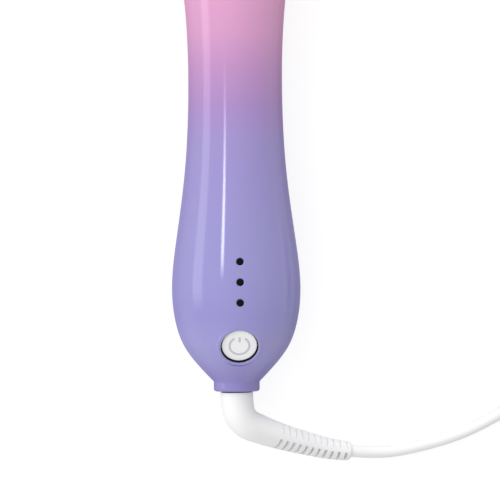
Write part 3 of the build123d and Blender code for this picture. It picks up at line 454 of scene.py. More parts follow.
def turning_tree():
    """Spins a closed outline, drawn as (radius, height), round the z axis."""
    tree = node_group("turned_piece", "GeometryNodeTree", (
        ("Outline", "Geometry"), ("Start Angle", "Float", 0.0), ("Sweep", "Float", 2 * math.pi),
        ("Segments", "Int", 96), ("End Faces", "Bool", False), ("Material", "Material")),
        (("Piece", "Geometry"),))
    calc = tree.calc

    def spun(geometry, radius, height, angle):
        """Moves the points of a geometry to a radius and a height, turned by an angle."""
        where = tree.add("ShaderNodeCombineXYZ", {
            0: calc("MULTIPLY", radius, calc("COSINE", angle)),
            1: calc("MULTIPLY", radius, calc("SINE", angle)), 2: height})
        moved = tree.add("GeometryNodeSetPosition", {"Geometry": geometry, "Position": where.outputs[0]})
        return moved.outputs[0]

    outline, segments = tree.given["Outline"], tree.given["Segments"]
    start, sweep = tree.given["Start Angle"], tree.given["Sweep"]
    count = tree.add("GeometryNodeAttributeDomainSize", {0: outline}).outputs["Point Count"]
    columns = calc("ADD", segments, 1)
    grid = tree.add("GeometryNodeMeshGrid", {"Vertices X": calc("ADD", count, 1), "Vertices Y": columns})
    index = tree.add("GeometryNodeInputIndex").outputs[0]
    row = calc("FLOOR", calc("DIVIDE", calc("ADD", index, 0.5), columns))
    column = calc("SUBTRACT", index, calc("MULTIPLY", row, columns))
    place = tree.add("GeometryNodeInputPosition").outputs[0]
    sample = tree.add("GeometryNodeSampleIndex", {
        "Geometry": outline, "Value": place, "Index": calc("MODULO", row, count)},
        data_type="FLOAT_VECTOR")
    drawn = tree.add("ShaderNodeSeparateXYZ", {0: sample.outputs[0]}).outputs
    angle = calc("ADD", start, calc("MULTIPLY", column, calc("DIVIDE", sweep, segments)))
    skin = spun(grid.outputs["Mesh"], drawn[0], drawn[1], angle)
    line = tree.add("GeometryNodeMeshToCurve", {0: outline})
    face = tree.add("GeometryNodeFillCurve", {0: line.outputs[0]}, mode="NGONS").outputs[0]
    turned_round = tree.add("GeometryNodeFlipFaces", {0: face}).outputs[0]
    own = tree.add("ShaderNodeSeparateXYZ", {0: place}).outputs
    ends = tree.add("GeometryNodeJoinGeometry", {0: spun(face, own[0], own[1], start)})
    tree.put(ends.inputs[0], spun(turned_round, own[0], own[1], calc("ADD", start, sweep)))
    wanted = tree.add("GeometryNodeSwitch", {"Switch": tree.given["End Faces"], "True": ends.outputs[0]},
                      input_type="GEOMETRY")
    whole = tree.add("GeometryNodeJoinGeometry", {0: skin})
    tree.put(whole.inputs[0], wanted.outputs[0])
    merged = tree.add("GeometryNodeMergeByDistance", {"Geometry": whole.outputs[0], "Distance": WELD})
    return finished(tree, merged.outputs[0])


TURNING = turning_tree()
print("turning tree's nodes", len(TURNING.tree.nodes))

# %% Turned pieces from outlines
SMOOTH_UNDER = math.radians(32)
FULL_TURN = 2 * math.pi


def frame_of(origin, axis):
    """A placement whose z axis is the turning axis and whose x axis stays level, to the right."""
    z = Vector(axis).normalized()
    x = Vector((1, 0, 0))
    return placement(origin, x, z.cross(x), z)


IRON_FRAME = frame_of(at(0), LONG_AXIS)
POWER_FRAME = frame_of(POWER_CENTRE, POWER_AXIS)


def made_mesh(piece):
    """A plain mesh of what an object's modifiers make of it."""
    graph = bpy.context.evaluated_depsgraph_get()
    return bpy.data.meshes.new_from_object(piece.evaluated_get(graph))


def tree_result(source, tree, values):
    """A plain mesh of what a Geometry Nodes tree makes of an object, which is then removed."""
    bpy.context.scene.collection.objects.link(source)
    modifier = source.modifiers.new("made", "NODES")
    modifier.node_group = tree.tree
    for label, value in values.items():
        modifier[tree.ids[label]] = value
    mesh = made_mesh(source)
    bpy.data.objects.remove(source)
    return mesh


def shown(name, mesh, smooth_under=SMOOTH_UNDER):
    """Puts a mesh in the scene under a name, smooth except at its real edges."""
    mesh.name = name
    mesh.shade_smooth()
    mesh.set_sharp_from_angle(angle=smooth_under)
    made = bpy.data.objects.new(name, mesh)
    bpy.context.scene.collection.objects.link(made)
    return made


def outwards(mesh):
    """Points every face of a closed mesh outwards."""
    shape = bmesh.new()
    shape.from_mesh(mesh)
    bmesh.ops.dissolve_degenerate(shape, dist=WELD / 10, edges=shape.edges)
    bmesh.ops.delete(shape, geom=[e for e in shape.edges if not e.link_faces], context="EDGES")
    bmesh.ops.recalc_face_normals(shape, faces=shape.faces)
    open_edges = sum(len(e.link_faces) != 2 for e in shape.edges)
    shape.to_mesh(mesh)
    shape.free()
    if open_edges:
        print(mesh.name, "has", open_edges, "open edges")


def turned(name, outline, material, where=IRON_FRAME, segments=96, start=0.0, sweep=FULL_TURN):
    """A piece turned from (station, radius) points in millimetres."""
    drawing = bpy.data.meshes.new(name + "_outline")
    count = len(outline)
    drawing.from_pydata([(radius * MM, station * MM, 0) for station, radius in outline],
                        [(k, (k + 1) % count) for k in range(count)], [])
    mesh = tree_result(bpy.data.objects.new(name + "_outline", drawing), TURNING, {
        "Start Angle": start, "Sweep": sweep, "Segments": segments, "End Faces": sweep < FULL_TURN,
        "Material": material})
    outwards(mesh)
    mesh.transform(where)
    return shown(name, mesh)


def rides(piece, body, slot, *nodes):
    """Fixes a piece to a body and hides the nodes that it stands for; its slot argument is not used."""
    if nodes:
        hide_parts(*nodes)
    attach(piece, body)
    print(piece.name, "faces", len(piece.data.polygons))


# %% [markdown]
# What isn't turned is skinned: rows of points, each row a closed loop, are joined row to row. Holes
# are cut by boolean modifiers, which are made part of the mesh at once, so that every later step
# meets plain faces.

# %% Skinned and cut pieces


def skin(shape, rows, closed_ends):
    """Adds the faces between rows of points to a bmesh, and the two end faces if they are wanted."""
    loops = [[shape.verts.new(point) for point in row] for row in rows]
    for before, after in zip(loops, loops[1:]):
        for k in range(len(before)):
            k2 = (k + 1) % len(before)
            shape.faces.new((before[k], before[k2], after[k2], after[k]))
    if closed_ends:
        shape.faces.new(loops[0][::-1])
        shape.faces.new(loops[-1])


def mesh_of(name, shape, *materials):
    """A mesh with its materials from a bmesh, which is then freed."""
    mesh = bpy.data.meshes.new(name)
    shape.to_mesh(mesh)
    shape.free()
    for material in materials:
        mesh.materials.append(material)
    return mesh


def skinned(name, rows, *materials, closed_ends=False):
    """A closed piece from rows of points."""
    shape = bmesh.new()
    skin(shape, rows, closed_ends)
    bmesh.ops.remove_doubles(shape, verts=shape.verts, dist=WELD)
    mesh = mesh_of(name, shape, *materials)
    outwards(mesh)
    return shown(name, mesh)


def applied(piece):
    """Makes a piece's modifiers part of its mesh, without faces that have no area."""
    mesh = made_mesh(piece)
    piece.modifiers.clear()
    piece.data = mesh
    shape = bmesh.new()
    shape.from_mesh(mesh)
    bmesh.ops.dissolve_degenerate(shape, dist=WELD, edges=shape.edges)
    shape.to_mesh(mesh)
    shape.free()
    mesh.set_sharp_from_angle(angle=SMOOTH_UNDER)


def cut(piece, *cutters):
    """Takes the cutters out of a piece for good."""
    for cutter in cutters:
        modifier = piece.modifiers.new("cut", "BOOLEAN")
        modifier.operation = "DIFFERENCE"
        modifier.solver = "EXACT"
        modifier.object = cutter
    applied(piece)
    for cutter in cutters:
        bpy.data.objects.remove(cutter)


print("points nearer than", round(WELD / MM, 4), "mm become one")

# %% [markdown]
# ## Handle
# The handle's outline comes from the drawing as fourteen measured rings. Gloss shows every kink, so
# the rings are joined by a cubic spline, whose curvature runs on smoothly, and not by straight or
# circular pieces.

# %% The outline as a spline
RINGS = ((3.8, 8.75), (9.4, 14.0), (16.1, 19.1), (25.1, 22.6), (38.4, 24.1), (56.6, 22.4),
         (79.1, 19.4), (112.0, 17.6), (146.6, 19.0), (176.0, 22.9), (190.0, 24.09), (204.0, 23.1),
         (214.0, 20.9), (220.0, 18.5))


def spline_bends(points):
    """Second derivatives of the natural cubic spline through (x, y) points."""
    count = len(points)
    bends, share = [0.0] * count, [0.0] * count
    for k in range(1, count - 1):
        (x0, y0), (x1, y1), (x2, y2) = points[k - 1:k + 2]
        sig = (x1 - x0) / (x2 - x0)
        p = sig * bends[k - 1] + 2
        bends[k] = (sig - 1) / p
        slope = (y2 - y1) / (x2 - x1) - (y1 - y0) / (x1 - x0)
        share[k] = (6 * slope / (x2 - x0) - sig * share[k - 1]) / p
    for k in range(count - 2, -1, -1):
        bends[k] = bends[k] * bends[k + 1] + share[k]
    return bends


RING_BENDS = spline_bends(RINGS)


def handle_radius(station):
    """The handle's radius at a station, both in millimetres."""
    k = next((i for i in range(1, len(RINGS)) if station <= RINGS[i][0]), len(RINGS) - 1)
    (x0, y0), (x1, y1) = RINGS[k - 1:k + 1]
    span = x1 - x0
    a, b = (x1 - station) / span, (station - x0) / span
    curve = (a ** 3 - a) * RING_BENDS[k - 1] + (b ** 3 - b) * RING_BENDS[k]
    return a * y0 + b * y1 + curve * span ** 2 / 6


print("waist radius", round(handle_radius(112), 2), "bulb", round(max(
    handle_radius(s / 2) for s in range(60, 90)), 2))

# %% Section of the handle's wall
WALL = 2.4
COLLAR_RADIUS = 8.6
COLLAR_EDGE = 1.0
COLLAR_BORE = 5.68
NOSE_BORE = 7.44
FINE_END, FINE_STEP, COARSE_STEP = 30.0, 0.3, 1.2


def wall_section():
    """The closed outline of the handle's wall, from the collar round to its inside."""
    outline = [(0.0, COLLAR_BORE), (0.0, COLLAR_RADIUS - COLLAR_EDGE)]
    for k in range(1, 9):
        angle = math.pi / 2 * k / 8
        outline.append((COLLAR_EDGE * (1 - math.cos(angle)),
                        COLLAR_RADIUS - COLLAR_EDGE * (1 - math.sin(angle))))
    first = RINGS[0][0]
    outline += [(2.4, COLLAR_RADIUS), (3.3, COLLAR_RADIUS), (3.6, COLLAR_RADIUS + 0.03)]
    fine = int((FINE_END - first) / FINE_STEP)
    stations = [first + FINE_STEP * k for k in range(fine)]
    coarse = math.ceil((RINGS[-1][0] - FINE_END) / COARSE_STEP)
    stations += [FINE_END + (RINGS[-1][0] - FINE_END) * k / coarse for k in range(coarse + 1)]
    outline += [(s, handle_radius(s)) for s in stations]
    outline += [(220.0, NOSE_BORE), (217.0, NOSE_BORE)]
    outline += [(s, handle_radius(s) - WALL * 1.05) for s in range(214, 14, -8)]
    outline += [(10.5, 9.0), (6.0, COLLAR_BORE)]
    return outline


section = wall_section()
print("points in the wall's section", len(section))

# %% [markdown]
# The two halves are spun separately, each a hair under half a turn, so that the parting line of the
# real handle is there as a fine dark gap along both sides.

# %% Spin the halves and cut them
PARTING = math.radians(0.12)
HALF_SEGMENTS = 144
HOLE = 7.02
BEZEL_SEAT = 8.3
WINDOW = 1.36
WINDOW_CHAMFER = 0.36
WINDOW_STATIONS = (33.4, 41.0, 48.6)
HOME_STATION = 188.0
PANEL_LENGTH, PANEL_WIDTH = 44.0, 20.0
PANEL_GAP = 0.2
SCREW_PLACES = [(station, side * x) for station, x in ((58.0, 15.0), (103.0, 11.6), (206.0, 16.4))
                for side in (-1, 1)]
HEAD_WAY = 2.25
PAST_SKIN = 0.3


def slot_outline(station, length, width, steps=24):
    """(x, station) points of a slot with round ends that lies along the iron."""
    reach, radius = (length - width) / 2, width / 2
    points = []
    for end, first in ((1, 0.0), (-1, math.pi)):
        for k in range(steps + 1):
            angle = first + math.pi * k / steps
            points.append((radius * math.cos(angle), station + end * reach + radius * math.sin(angle)))
    return points


front = turned("front_half", section, LACQUER, segments=HALF_SEGMENTS,
               start=-math.pi + PARTING / 2, sweep=math.pi - PARTING)
rear = turned("rear_half", section, LACQUER, segments=HALF_SEGMENTS,
              start=PARTING / 2, sweep=math.pi - PARTING)
cutters = [turned("hole", [(-9, 0), (-9, HOLE), (-1.3, HOLE), (-1.3, BEZEL_SEAT), (4, BEZEL_SEAT),
                           (4, 0)], LACQUER, POWER_FRAME)]
for station in WINDOW_STATIONS:
    top = handle_radius(station)
    cutters.append(turned("window", [
        (12, 0), (12, WINDOW), (top - WINDOW_CHAMFER, WINDOW),
        (top + PAST_SKIN, WINDOW + WINDOW_CHAMFER + PAST_SKIN), (top + PAST_SKIN, 0)],
        LACQUER, frame_of(at(station), UP), segments=48))
opening = slot_outline(HOME_STATION, PANEL_LENGTH + 2 * PANEL_GAP, PANEL_WIDTH + 2 * PANEL_GAP)
cutters.append(skinned("panel_opening", [[at(station, x, rise) for x, station in opening]
                                         for rise in (10, 30)], closed_ends=True))
cut(front, *cutters)
cut(rear, *[turned("screw_way", [(-30, 0), (-30, HEAD_WAY), (-8, HEAD_WAY), (-8, 0)], LACQUER,
                   frame_of(at(station, x), UP), segments=48) for station, x in SCREW_PLACES])
rides(front, "handle", "handle_gloss", "front_shell")
rides(rear, "handle", "handle_gloss", "rear_shell")

# %% [markdown]
# ## Power button
# A round white cap sits a millimetre below a raised ring, so that it isn't pressed by accident, and a
# black sleeve lines the gap between them: painted shade, a dark sheet that makes the deep gap read
# black. All three are turned round the button's own tilted axis.
# The ring could be raised out of the handle's mesh, but its round shoulders need rows of points that
# run round the button, so it is a piece of its own that stands in a seat cut in the lacquered wall.

# %% Ring, sleeve and cap
# The cap's white is the white gloss made lighter for the cap alone: painted light for the sunk, tilted
# cap, which gets less light than the panel and keys.
PAINTED_LIFT_CAP_WHITE = plastic("cap_white_painted_lift", "FBFBFC", 0.22, grain=0.003, bump=0.01, coat=0.6, spread=0.05)
WHITE_GLOSS = plastic("white_gloss", "F0F0F1", 0.22, grain=0.003, bump=0.01, coat=0.6, spread=0.05)
# This black serves the drawing's black components, and also the sleeve in the power cap's gap, where it
# is painted shade.
BLACK_PARTS_AND_GAP_SHADE = plastic("black_parts_and_gap_shade", "08080A", 0.6, grain=0.0004, bump=0.1)
LENS_BLACK = plastic("lens_black", "020204", 0.15, grain=0.002, bump=0.01, spread=0.03,
                     gloss_level=0.12)
RING_FOOT, RING_TOP = -3.1, -1.0
RING_OUTER = 8.75
SHOULDER, INNER_SHOULDER = 1.25, 0.3
CAP_RADIUS, CAP_EDGE = 6.55, 0.3
CAP_TOP = ((0.0, -1.93), (2.0, -1.945), (4.0, -1.99), (5.4, -2.05), (6.25, -2.1))


def arc(centre, radius, first, last, steps=8):
    """(station, radius) points on an arc; degrees from outwards, positive towards +station."""
    angles = [math.radians(first + (last - first) * k / steps) for k in range(steps + 1)]
    return [(centre[0] + radius * math.sin(a), centre[1] + radius * math.cos(a)) for a in angles]


def cap_height(away):
    """The power cap's surface over its axis, at a distance from it."""
    for (r0, z0), (r1, z1) in zip(CAP_TOP, CAP_TOP[1:]):
        if away <= r1:
            return z0 + (z1 - z0) * (away - r0) / (r1 - r0)
    return CAP_TOP[-1][1]


ring_outline = [(RING_FOOT, RING_OUTER)]
ring_outline += arc((RING_TOP - SHOULDER, RING_OUTER - SHOULDER), SHOULDER, 0, 90, 12)
ring_outline += arc((RING_TOP - INNER_SHOULDER, HOLE + INNER_SHOULDER), INNER_SHOULDER, 90, 180)
ring_outline += [(RING_FOOT, HOLE)]
rides(turned("button_ring", ring_outline, RING_LACQUER, POWER_FRAME, segments=128),
      "handle", "handle_gloss")
# The sleeve is painted shade: a black lining in the gap round the cap, where there is only shade.
gap_shade_outline = [(-1.5, HOLE - 0.1), (-1.5, HOLE + 0.02), (-4.9, HOLE + 0.02), (-4.9, HOLE - 0.1)]
rides(turned("button_sleeve", gap_shade_outline, BLACK_PARTS_AND_GAP_SHADE, POWER_FRAME, segments=128),
      "handle", "component_black")
cap_outline = [(z, radius) for radius, z in CAP_TOP[:-1]]
cap_outline += arc((CAP_TOP[-1][1] - CAP_EDGE, CAP_RADIUS - CAP_EDGE), CAP_EDGE, 90, 0)
cap_outline += [(-5.35, CAP_RADIUS), (-5.35, 8.3), (-6.5, 8.3), (-6.5, 1.6), (-8.4, 1.6), (-8.4, 0)]
rides(turned("power_cap", cap_outline, PAINTED_LIFT_CAP_WHITE, POWER_FRAME, segments=128),
      "power_key", "white_gloss", "power_button")

# %% [markdown]
# The grey symbols on the caps are thin inlays. Each is a set of strokes, and a stroke is a ribbon
# that is skinned point by point on the cap's surface, so it follows the dome.

# %% Strokes laid on a cap
PRINT_GREY = plastic("print_grey", "CFCFD6", 0.45, grain=0.0005, bump=0.03)
PRINT_RISE, PRINT_DEPTH = 0.03, 0.12


def stroke_symbol(name, strokes, surface_height, where):
    """Closed ribbons along (x, y, width) points in millimetres, on a surface over a plane."""
    shape = bmesh.new()
    for stroke in strokes:
        rows = []
        for k, (x, y, width) in enumerate(stroke):
            x0, y0, _ = stroke[max(0, k - 1)]
            x1, y1, _ = stroke[min(len(stroke) - 1, k + 1)]
            length = math.hypot(x1 - x0, y1 - y0)
            across = Vector((-(y1 - y0) / length, (x1 - x0) / length)) * width / 2
            row = []
            for lift, shares in ((PRINT_RISE, (-1, 0, 1)), (-PRINT_DEPTH, (1, 0, -1))):
                for share in shares:
                    px, py = x + across.x * share, y + across.y * share
                    row.append(where @ (Vector((px, py, surface_height(px, py) + lift)) * MM))
            rows.append(row)
        skin(shape, rows, closed_ends=True)
    mesh = mesh_of(name, shape, PRINT_GREY)
    outwards(mesh)
    return shown(name, mesh)


def arc_stroke(radius, first, last, width, steps=40, centre=(0, 0)):
    """A stroke along an arc, in degrees counted from the right, anticlockwise."""
    angles = [math.radians(first + (last - first) * k / steps) for k in range(steps + 1)]
    return [(centre[0] + radius * math.cos(a), centre[1] + radius * math.sin(a), width) for a in angles]


POWER_SYMBOL = [arc_stroke(3.66, 122, 418, 0.85),
                [(0, 1.6 + 2.1 * k / 6, 0.85) for k in range(7)]]
symbol = stroke_symbol("power_symbol", POWER_SYMBOL, lambda x, y: cap_height(math.hypot(x, y)),
                       POWER_FRAME)
rides(symbol, "power_key", "white_gloss")

# %% [markdown]
# ## Indicator windows
# Three dark lenses, each a low dome just inside a chamfered hole. The chamfer catches the light as a
# thin pale ring round the black.

# %% Lenses
LENS_RADIUS = 1.33
LENS_DOME, LENS_SUNK = 0.18, 0.1
LENS_FOOT = 19
lens_parts = []
for station in WINDOW_STATIONS:
    top = handle_radius(station) - LENS_SUNK
    outline = [(top - LENS_DOME * (k / 4) ** 2, LENS_RADIUS * k / 4) for k in range(5)]
    outline += [(LENS_FOOT, LENS_RADIUS), (LENS_FOOT, 0)]
    lens_parts.append(turned("lens", outline, LENS_BLACK, frame_of(at(station), UP), segments=40))


def joined(name, pieces):
    """One object from several pieces that were all made in the same materials."""
    materials = list(pieces[0].data.materials)
    shape = bmesh.new()
    for piece in pieces:
        shape.from_mesh(piece.data)
        bpy.data.objects.remove(piece)
    return shown(name, mesh_of(name, shape, *materials))


rides(joined("indicator_windows", lens_parts), "handle", "lens_dark", "indicator_lenses")

# %% [markdown]
# ## Control panel
# The white panel on the upper bulge carries on the handle's own curve, so it is a patch of that
# surface. A boolean could cut it out of the handle, but then its edge would stay knife-sharp. Here
# rings of points run round a slot shape, each set in from the one before, and every point is lifted
# to the handle's height there. The first rings drop a little, which rounds the panel's edge. Two
# things keep the booleans for the key holes clean: the patch's slightly bent faces are split into
# flat ones first, and the holes are turned a degree, so that no corner of theirs falls on a face's
# edge.

# %% A patch of the handle's surface
PANEL_THICK = 3.1
PANEL_EDGE = 0.4
PANEL_INSETS = (0, 0.04, 0.12, 0.23, 0.4, 1, 2, 3.5, 5, 7, 9, 10)
PANEL_UNDER_INSETS = (0, 5, 10)
ROUND_STEPS, SIDE_STEPS = 24, 20
KEY_STATIONS = (176.0, 188.0, 200.0)
KEY_RADII = (5.5, 4.2, 5.5)
KEY_GAP = 0.25
KEY_HOLE_TURN = math.radians(1)


def panel_ring(inset):
    """(x, station) points round the panel, set in from its edge."""
    radius = PANEL_WIDTH / 2 - inset
    reach = (PANEL_LENGTH - PANEL_WIDTH) / 2
    points = []
    for end in (1, -1):
        for k in range(ROUND_STEPS):
            angle = math.pi * k / ROUND_STEPS
            points.append((end * radius * math.cos(angle),
                           HOME_STATION + end * (reach + radius * math.sin(angle))))
        for k in range(SIDE_STEPS):
            points.append((-end * radius, HOME_STATION + end * reach * (1 - 2 * k / SIDE_STEPS)))
    return points


def panel_row(inset, down):
    """A ring of points on the handle's surface, or below it by some millimetres."""
    fall = PANEL_EDGE - math.sqrt(PANEL_EDGE ** 2 - max(0.0, PANEL_EDGE - inset) ** 2)
    return [at(s, x, math.sqrt(handle_radius(s) ** 2 - x * x) - max(fall, down))
            for x, s in panel_ring(inset)]


panel = skinned("panel", [panel_row(inset, 0) for inset in PANEL_INSETS[::-1]] +
                [panel_row(inset, PANEL_THICK) for inset in PANEL_UNDER_INSETS], WHITE_GLOSS)
panel.modifiers.new("flat_faces", "TRIANGULATE")
cut(panel, *[turned("key_hole", [(10, 0), (10, r + KEY_GAP), (30, r + KEY_GAP), (30, 0)],
                    WHITE_GLOSS, frame_of(at(station), UP), segments=96, start=KEY_HOLE_TURN)
             for station, r in zip(KEY_STATIONS, KEY_RADII)])
rides(panel, "handle", "white_gloss", "control_panel")

# %% [markdown]
# Each key is turned round its own upright axis, with a shallow dish that guides the fingertip and a
# flange under the panel that keeps it in. The symbols are the usual ones for turn left, home and
# turn right, laid in the dish as strokes.

# %% Three keys and their symbols
KEY_STAND = 0.8
KEY_EDGE = 0.6
KEY_DISH = 0.32
FLANGE_TOP = -KEY_STAND - 6.2
FLANGE_WIDTH, FLANGE_THICK = 1, 1.1
STEM_RADIUS, STEM_BOTTOM = 1.4, 15.3


def line_stroke(start, end, width, end_width=None, steps=6):
    """A straight stroke between two points, tapered if it has an end width."""
    last = width if end_width is None else end_width
    return [(start[0] + (end[0] - start[0]) * k / steps, start[1] + (end[1] - start[1]) * k / steps,
             width + (last - width) * k / steps) for k in range(steps + 1)]


def turn_symbol(side):
    """A ring arrow that turns left for side 1 and right for side -1."""
    strokes = [arc_stroke(2.5, 110, 361, 0.62), line_stroke((2.5, -0.1), (2.5, 1.75), 2.1, 0.06)]
    return [[(side * x, y, width) for x, y, width in stroke] for stroke in strokes]


HOME_SYMBOL = [line_stroke(start, end, width) for start, end, width in (
    ((-2.25, 0.05), (0.1, 2.1), 0.5), ((-0.1, 2.1), (2.25, 0.05), 0.5),
    ((-1.45, 0.9), (-1.45, -1.75), 0.5), ((1.45, 0.9), (1.45, -1.75), 0.5),
    ((-1.8, -1.75), (1.8, -1.75), 0.5), ((0, -1.7), (0, -0.3), 0.8))]

for name, node, station, radius, strokes in zip(
        ("turn_left", "home", "turn_right"),
        ("rotate_left_button", "home_button", "rotate_right_button"),
        KEY_STATIONS, KEY_RADII, (turn_symbol(1), HOME_SYMBOL, turn_symbol(-1))):
    top = handle_radius(station) + KEY_STAND
    rim = radius - KEY_EDGE
    foot = STEM_BOTTOM - top

    def dish(x, y):
        return -KEY_DISH * max(0.0, 1 - (x * x + y * y) / rim ** 2)

    outline = [(dish(rim * k / 8, 0), rim * k / 8) for k in range(8)]
    outline += arc((-KEY_EDGE, rim), KEY_EDGE, 90, 0)
    outline += [(FLANGE_TOP, radius), (FLANGE_TOP, radius + FLANGE_WIDTH),
                (FLANGE_TOP - FLANGE_THICK, radius + FLANGE_WIDTH),
                (FLANGE_TOP - FLANGE_THICK, STEM_RADIUS), (foot, STEM_RADIUS), (foot, 0)]
    where = frame_of(at(station, 0, top), UP)
    body = node.replace("_button", "_key")
    rides(turned(name + "_cap", outline, WHITE_GLOSS, where), body, "white_gloss", node)
    rides(stroke_symbol(name + "_symbol", strokes, dish, where), body, "white_gloss")

# %% [markdown]
# ## Screws
# Six screws close the handle from the back, deep in round ways whose bosses reach up from the wall.
# One screw is made with all its detail: a domed head with a cross recess, and threads. Copies of it
# are then set on six points by a Geometry Nodes tree, each turned a little differently by a seeded
# random value, because no two screws stop at the same angle.

# %% The tree that places copies
BRIGHT_STEEL = metal("bright_steel", "C4C6C9", 0.3, stretch=(3000, 3000, 200), bump=0.05)


def copies_tree():
    """Sets copies of one object on points, each turned by a seeded random angle."""
    tree = node_group("placed_copies", "GeometryNodeTree", (
        ("Places", "Geometry"), ("Piece", "Object"), ("Most Turn", "Float", 0.0), ("Seed", "Int", 4),
        ("Material", "Material")), (("Pieces", "Geometry"),))
    piece = tree.add("GeometryNodeObjectInfo", {"Object": tree.given["Piece"]})
    angle = tree.add("FunctionNodeRandomValue", {"Seed": tree.given["Seed"]}, data_type="FLOAT")
    tree.put(next(s for s in angle.inputs if s.name == "Max" and s.enabled), tree.given["Most Turn"])
    turn = tree.add("ShaderNodeCombineXYZ", {2: next(s for s in angle.outputs if s.enabled)})
    copies = tree.add("GeometryNodeInstanceOnPoints", {
        "Points": tree.given["Places"], "Instance": piece.outputs["Geometry"],
        "Rotation": turn.outputs[0]})
    return finished(tree, copies.outputs[0])


COPIES = copies_tree()


def placed_copies(name, piece, places, material, most_turn=0.0):
    """Copies of a piece, drawn at the origin, on points of the scene."""
    points = bpy.data.meshes.new(name + "_places")
    points.from_pydata([tuple(place) for place in places], [], [])
    mesh = tree_result(bpy.data.objects.new(name + "_places", points), COPIES, {
        "Piece": piece, "Most Turn": most_turn, "Material": material})
    bpy.data.objects.remove(piece)
    return shown(name, mesh)


print("copying tree's nodes", len(COPIES.tree.nodes))

# %% One screw, six times
HEAD_RISE = -8.0
SCREW_REACH = 6.0
THREADS_FROM, THREAD_PITCH = -4.0, 0.8
CREST, CORE = 1.15, 0.85
DOWN = -UP
screw_top = -(SCREW_REACH - HEAD_RISE)
screw_outline = [(1.8, 0), (1.8, 0.7), (1.68, 1.2), (1.35, 1.7), (0.85, 2.03), (0.3, 2.1), (0, 2.05),
                 (0, CREST), (THREADS_FROM, CREST)]
for k in range(int((THREADS_FROM - screw_top - 1.0) / THREAD_PITCH)):
    screw_outline += [(THREADS_FROM - THREAD_PITCH * (k + 0.35), CORE),
                      (THREADS_FROM - THREAD_PITCH * (k + 0.65), CREST)]
screw_outline += [(screw_top + 0.6, CORE), (screw_top, 0.35), (screw_top, 0)]
screw = turned("screw", screw_outline, BRIGHT_STEEL, frame_of((0, 0, 0), DOWN), segments=32)
recess = []
for height, share in ((-0.75, 0.55), (-2.2, 1.1)):
    wide, narrow = 1.25 * share, 0.34 * share
    recess.append([Vector((x, y, height)) * MM for x, y in (
        (wide, -narrow), (wide, narrow), (narrow, narrow), (narrow, wide), (-narrow, wide),
        (-narrow, narrow), (-wide, narrow), (-wide, -narrow), (-narrow, -narrow), (-narrow, -wide),
        (narrow, -wide), (narrow, -narrow))])
cut(screw, skinned("recess", recess, BRIGHT_STEEL, closed_ends=True))
screw_points = [at(station, x, HEAD_RISE) for station, x in SCREW_PLACES]
rides(placed_copies("screws", screw, screw_points, BRIGHT_STEEL, most_turn=1.57), "handle", "steel",
      "handle_screws")

# %% Screw bosses
BOSS_RADIUS, BOSS_TOP = 3.0, -6.0
SHAFT_WAY = 1.25
BOSS_STEPS = 40
IN_THE_WALL = 1.2


def boss(station, x):
    """A tube round a screw's way, from inside the handle's wall up past the screw's head."""
    rows = []
    for radius, rise in ((HEAD_WAY, None), (BOSS_RADIUS, None), (BOSS_RADIUS, BOSS_TOP),
                         (SHAFT_WAY, BOSS_TOP), (SHAFT_WAY, HEAD_RISE), (HEAD_WAY, HEAD_RISE),
                         (HEAD_WAY, None)):
        row = []
        for k in range(BOSS_STEPS):
            angle = FULL_TURN * k / BOSS_STEPS
            s, px = station + radius * math.sin(angle), x + radius * math.cos(angle)
            wall_rise = IN_THE_WALL - math.sqrt(handle_radius(s) ** 2 - px * px)
            row.append(at(s, px, wall_rise if rise is None else rise))
        rows.append(row)
    return skinned("boss", rows, LACQUER)


rides(joined("screw_bosses", [boss(station, x) for station, x in SCREW_PLACES]),
      "handle", "handle_gloss")

# %% [markdown]
# ## Barrel
# The barrel's base and the cool tip are heat-resistant plastic, turned like the handle, with shallow
# grooves that show which parts are safe to touch. Between them runs the heated tube. Its ceramic coat
# is a satin rose metal whose fine lines run round the tube, left by the polishing on a lathe.

# %% Base, tube and tip
HEAT_WHITE = plastic("heat_white", "EAE8E8", 0.4, grain=0.0005, bump=0.05)
BARREL_COAT = metal("barrel_coat", "D2A296", 0.33, stretch=(90, 5000, 90), bump=0.04, spread=0.12)
BARREL_RADIUS = 12.7
GROOVE_WIDTH, GROOVE_DEPTH = 0.9, 0.32


def grooved(radius, *stations):
    """Outline points of shallow round grooves at stations on a turned face."""
    return [(station + share * GROOVE_WIDTH / 2, radius - GROOVE_DEPTH * (1 - share ** 2))
            for station in stations for share in (-1, -0.75, -0.4, 0, 0.4, 0.75, 1)]


base_outline = [(224.3, 6.0), (224.3, 12.8)] + arc((225.3, 12.8), 1.0, -90, 0)
base_outline += grooved(13.8, 228.0, 230.0, 232.0) + arc((244.8, 12.6), 1.2, 0, 80, 8)
base_outline += [(246.0, 12.68), (238, 12.68), (238, 9.8), (228.4, 9.8), (228.4, 6.0)]
base = turned("base", base_outline, HEAT_WHITE)
cut(base, turned("spring_way", [(12.6, 0), (12.6, 3.1), (18, 3.1), (18, 0)], HEAT_WHITE,
                 frame_of(at(238), UP), segments=48))
rides(base, "barrel", "heat_white", "barrel_base")
tube_outline = [(238, 11.5), (238, BARREL_RADIUS)]
tube_outline += arc((343.7, BARREL_RADIUS - 0.3), 0.3, 0, 90, 4) + [(344, 11.5)]
rides(turned("heated_tube", tube_outline, BARREL_COAT, segments=128),
      "barrel", "barrel_coat", "barrel_tube")
tip_outline = [(337, 9.4), (337, 11.48), (344.02, 11.48), (344.02, 12.9)]
tip_outline += arc((344.62, 12.6), 0.6, -60, 0, 4) + grooved(13.2, 347.5, 349.5, 351.5)
tip_outline += arc((363.8, 9.0), 4.2, 0, 90, 16) + [(368, 0), (365, 0), (365, 9.4)]
rides(turned("tip", tip_outline, HEAT_WHITE), "barrel", "heat_white", "cool_tip")

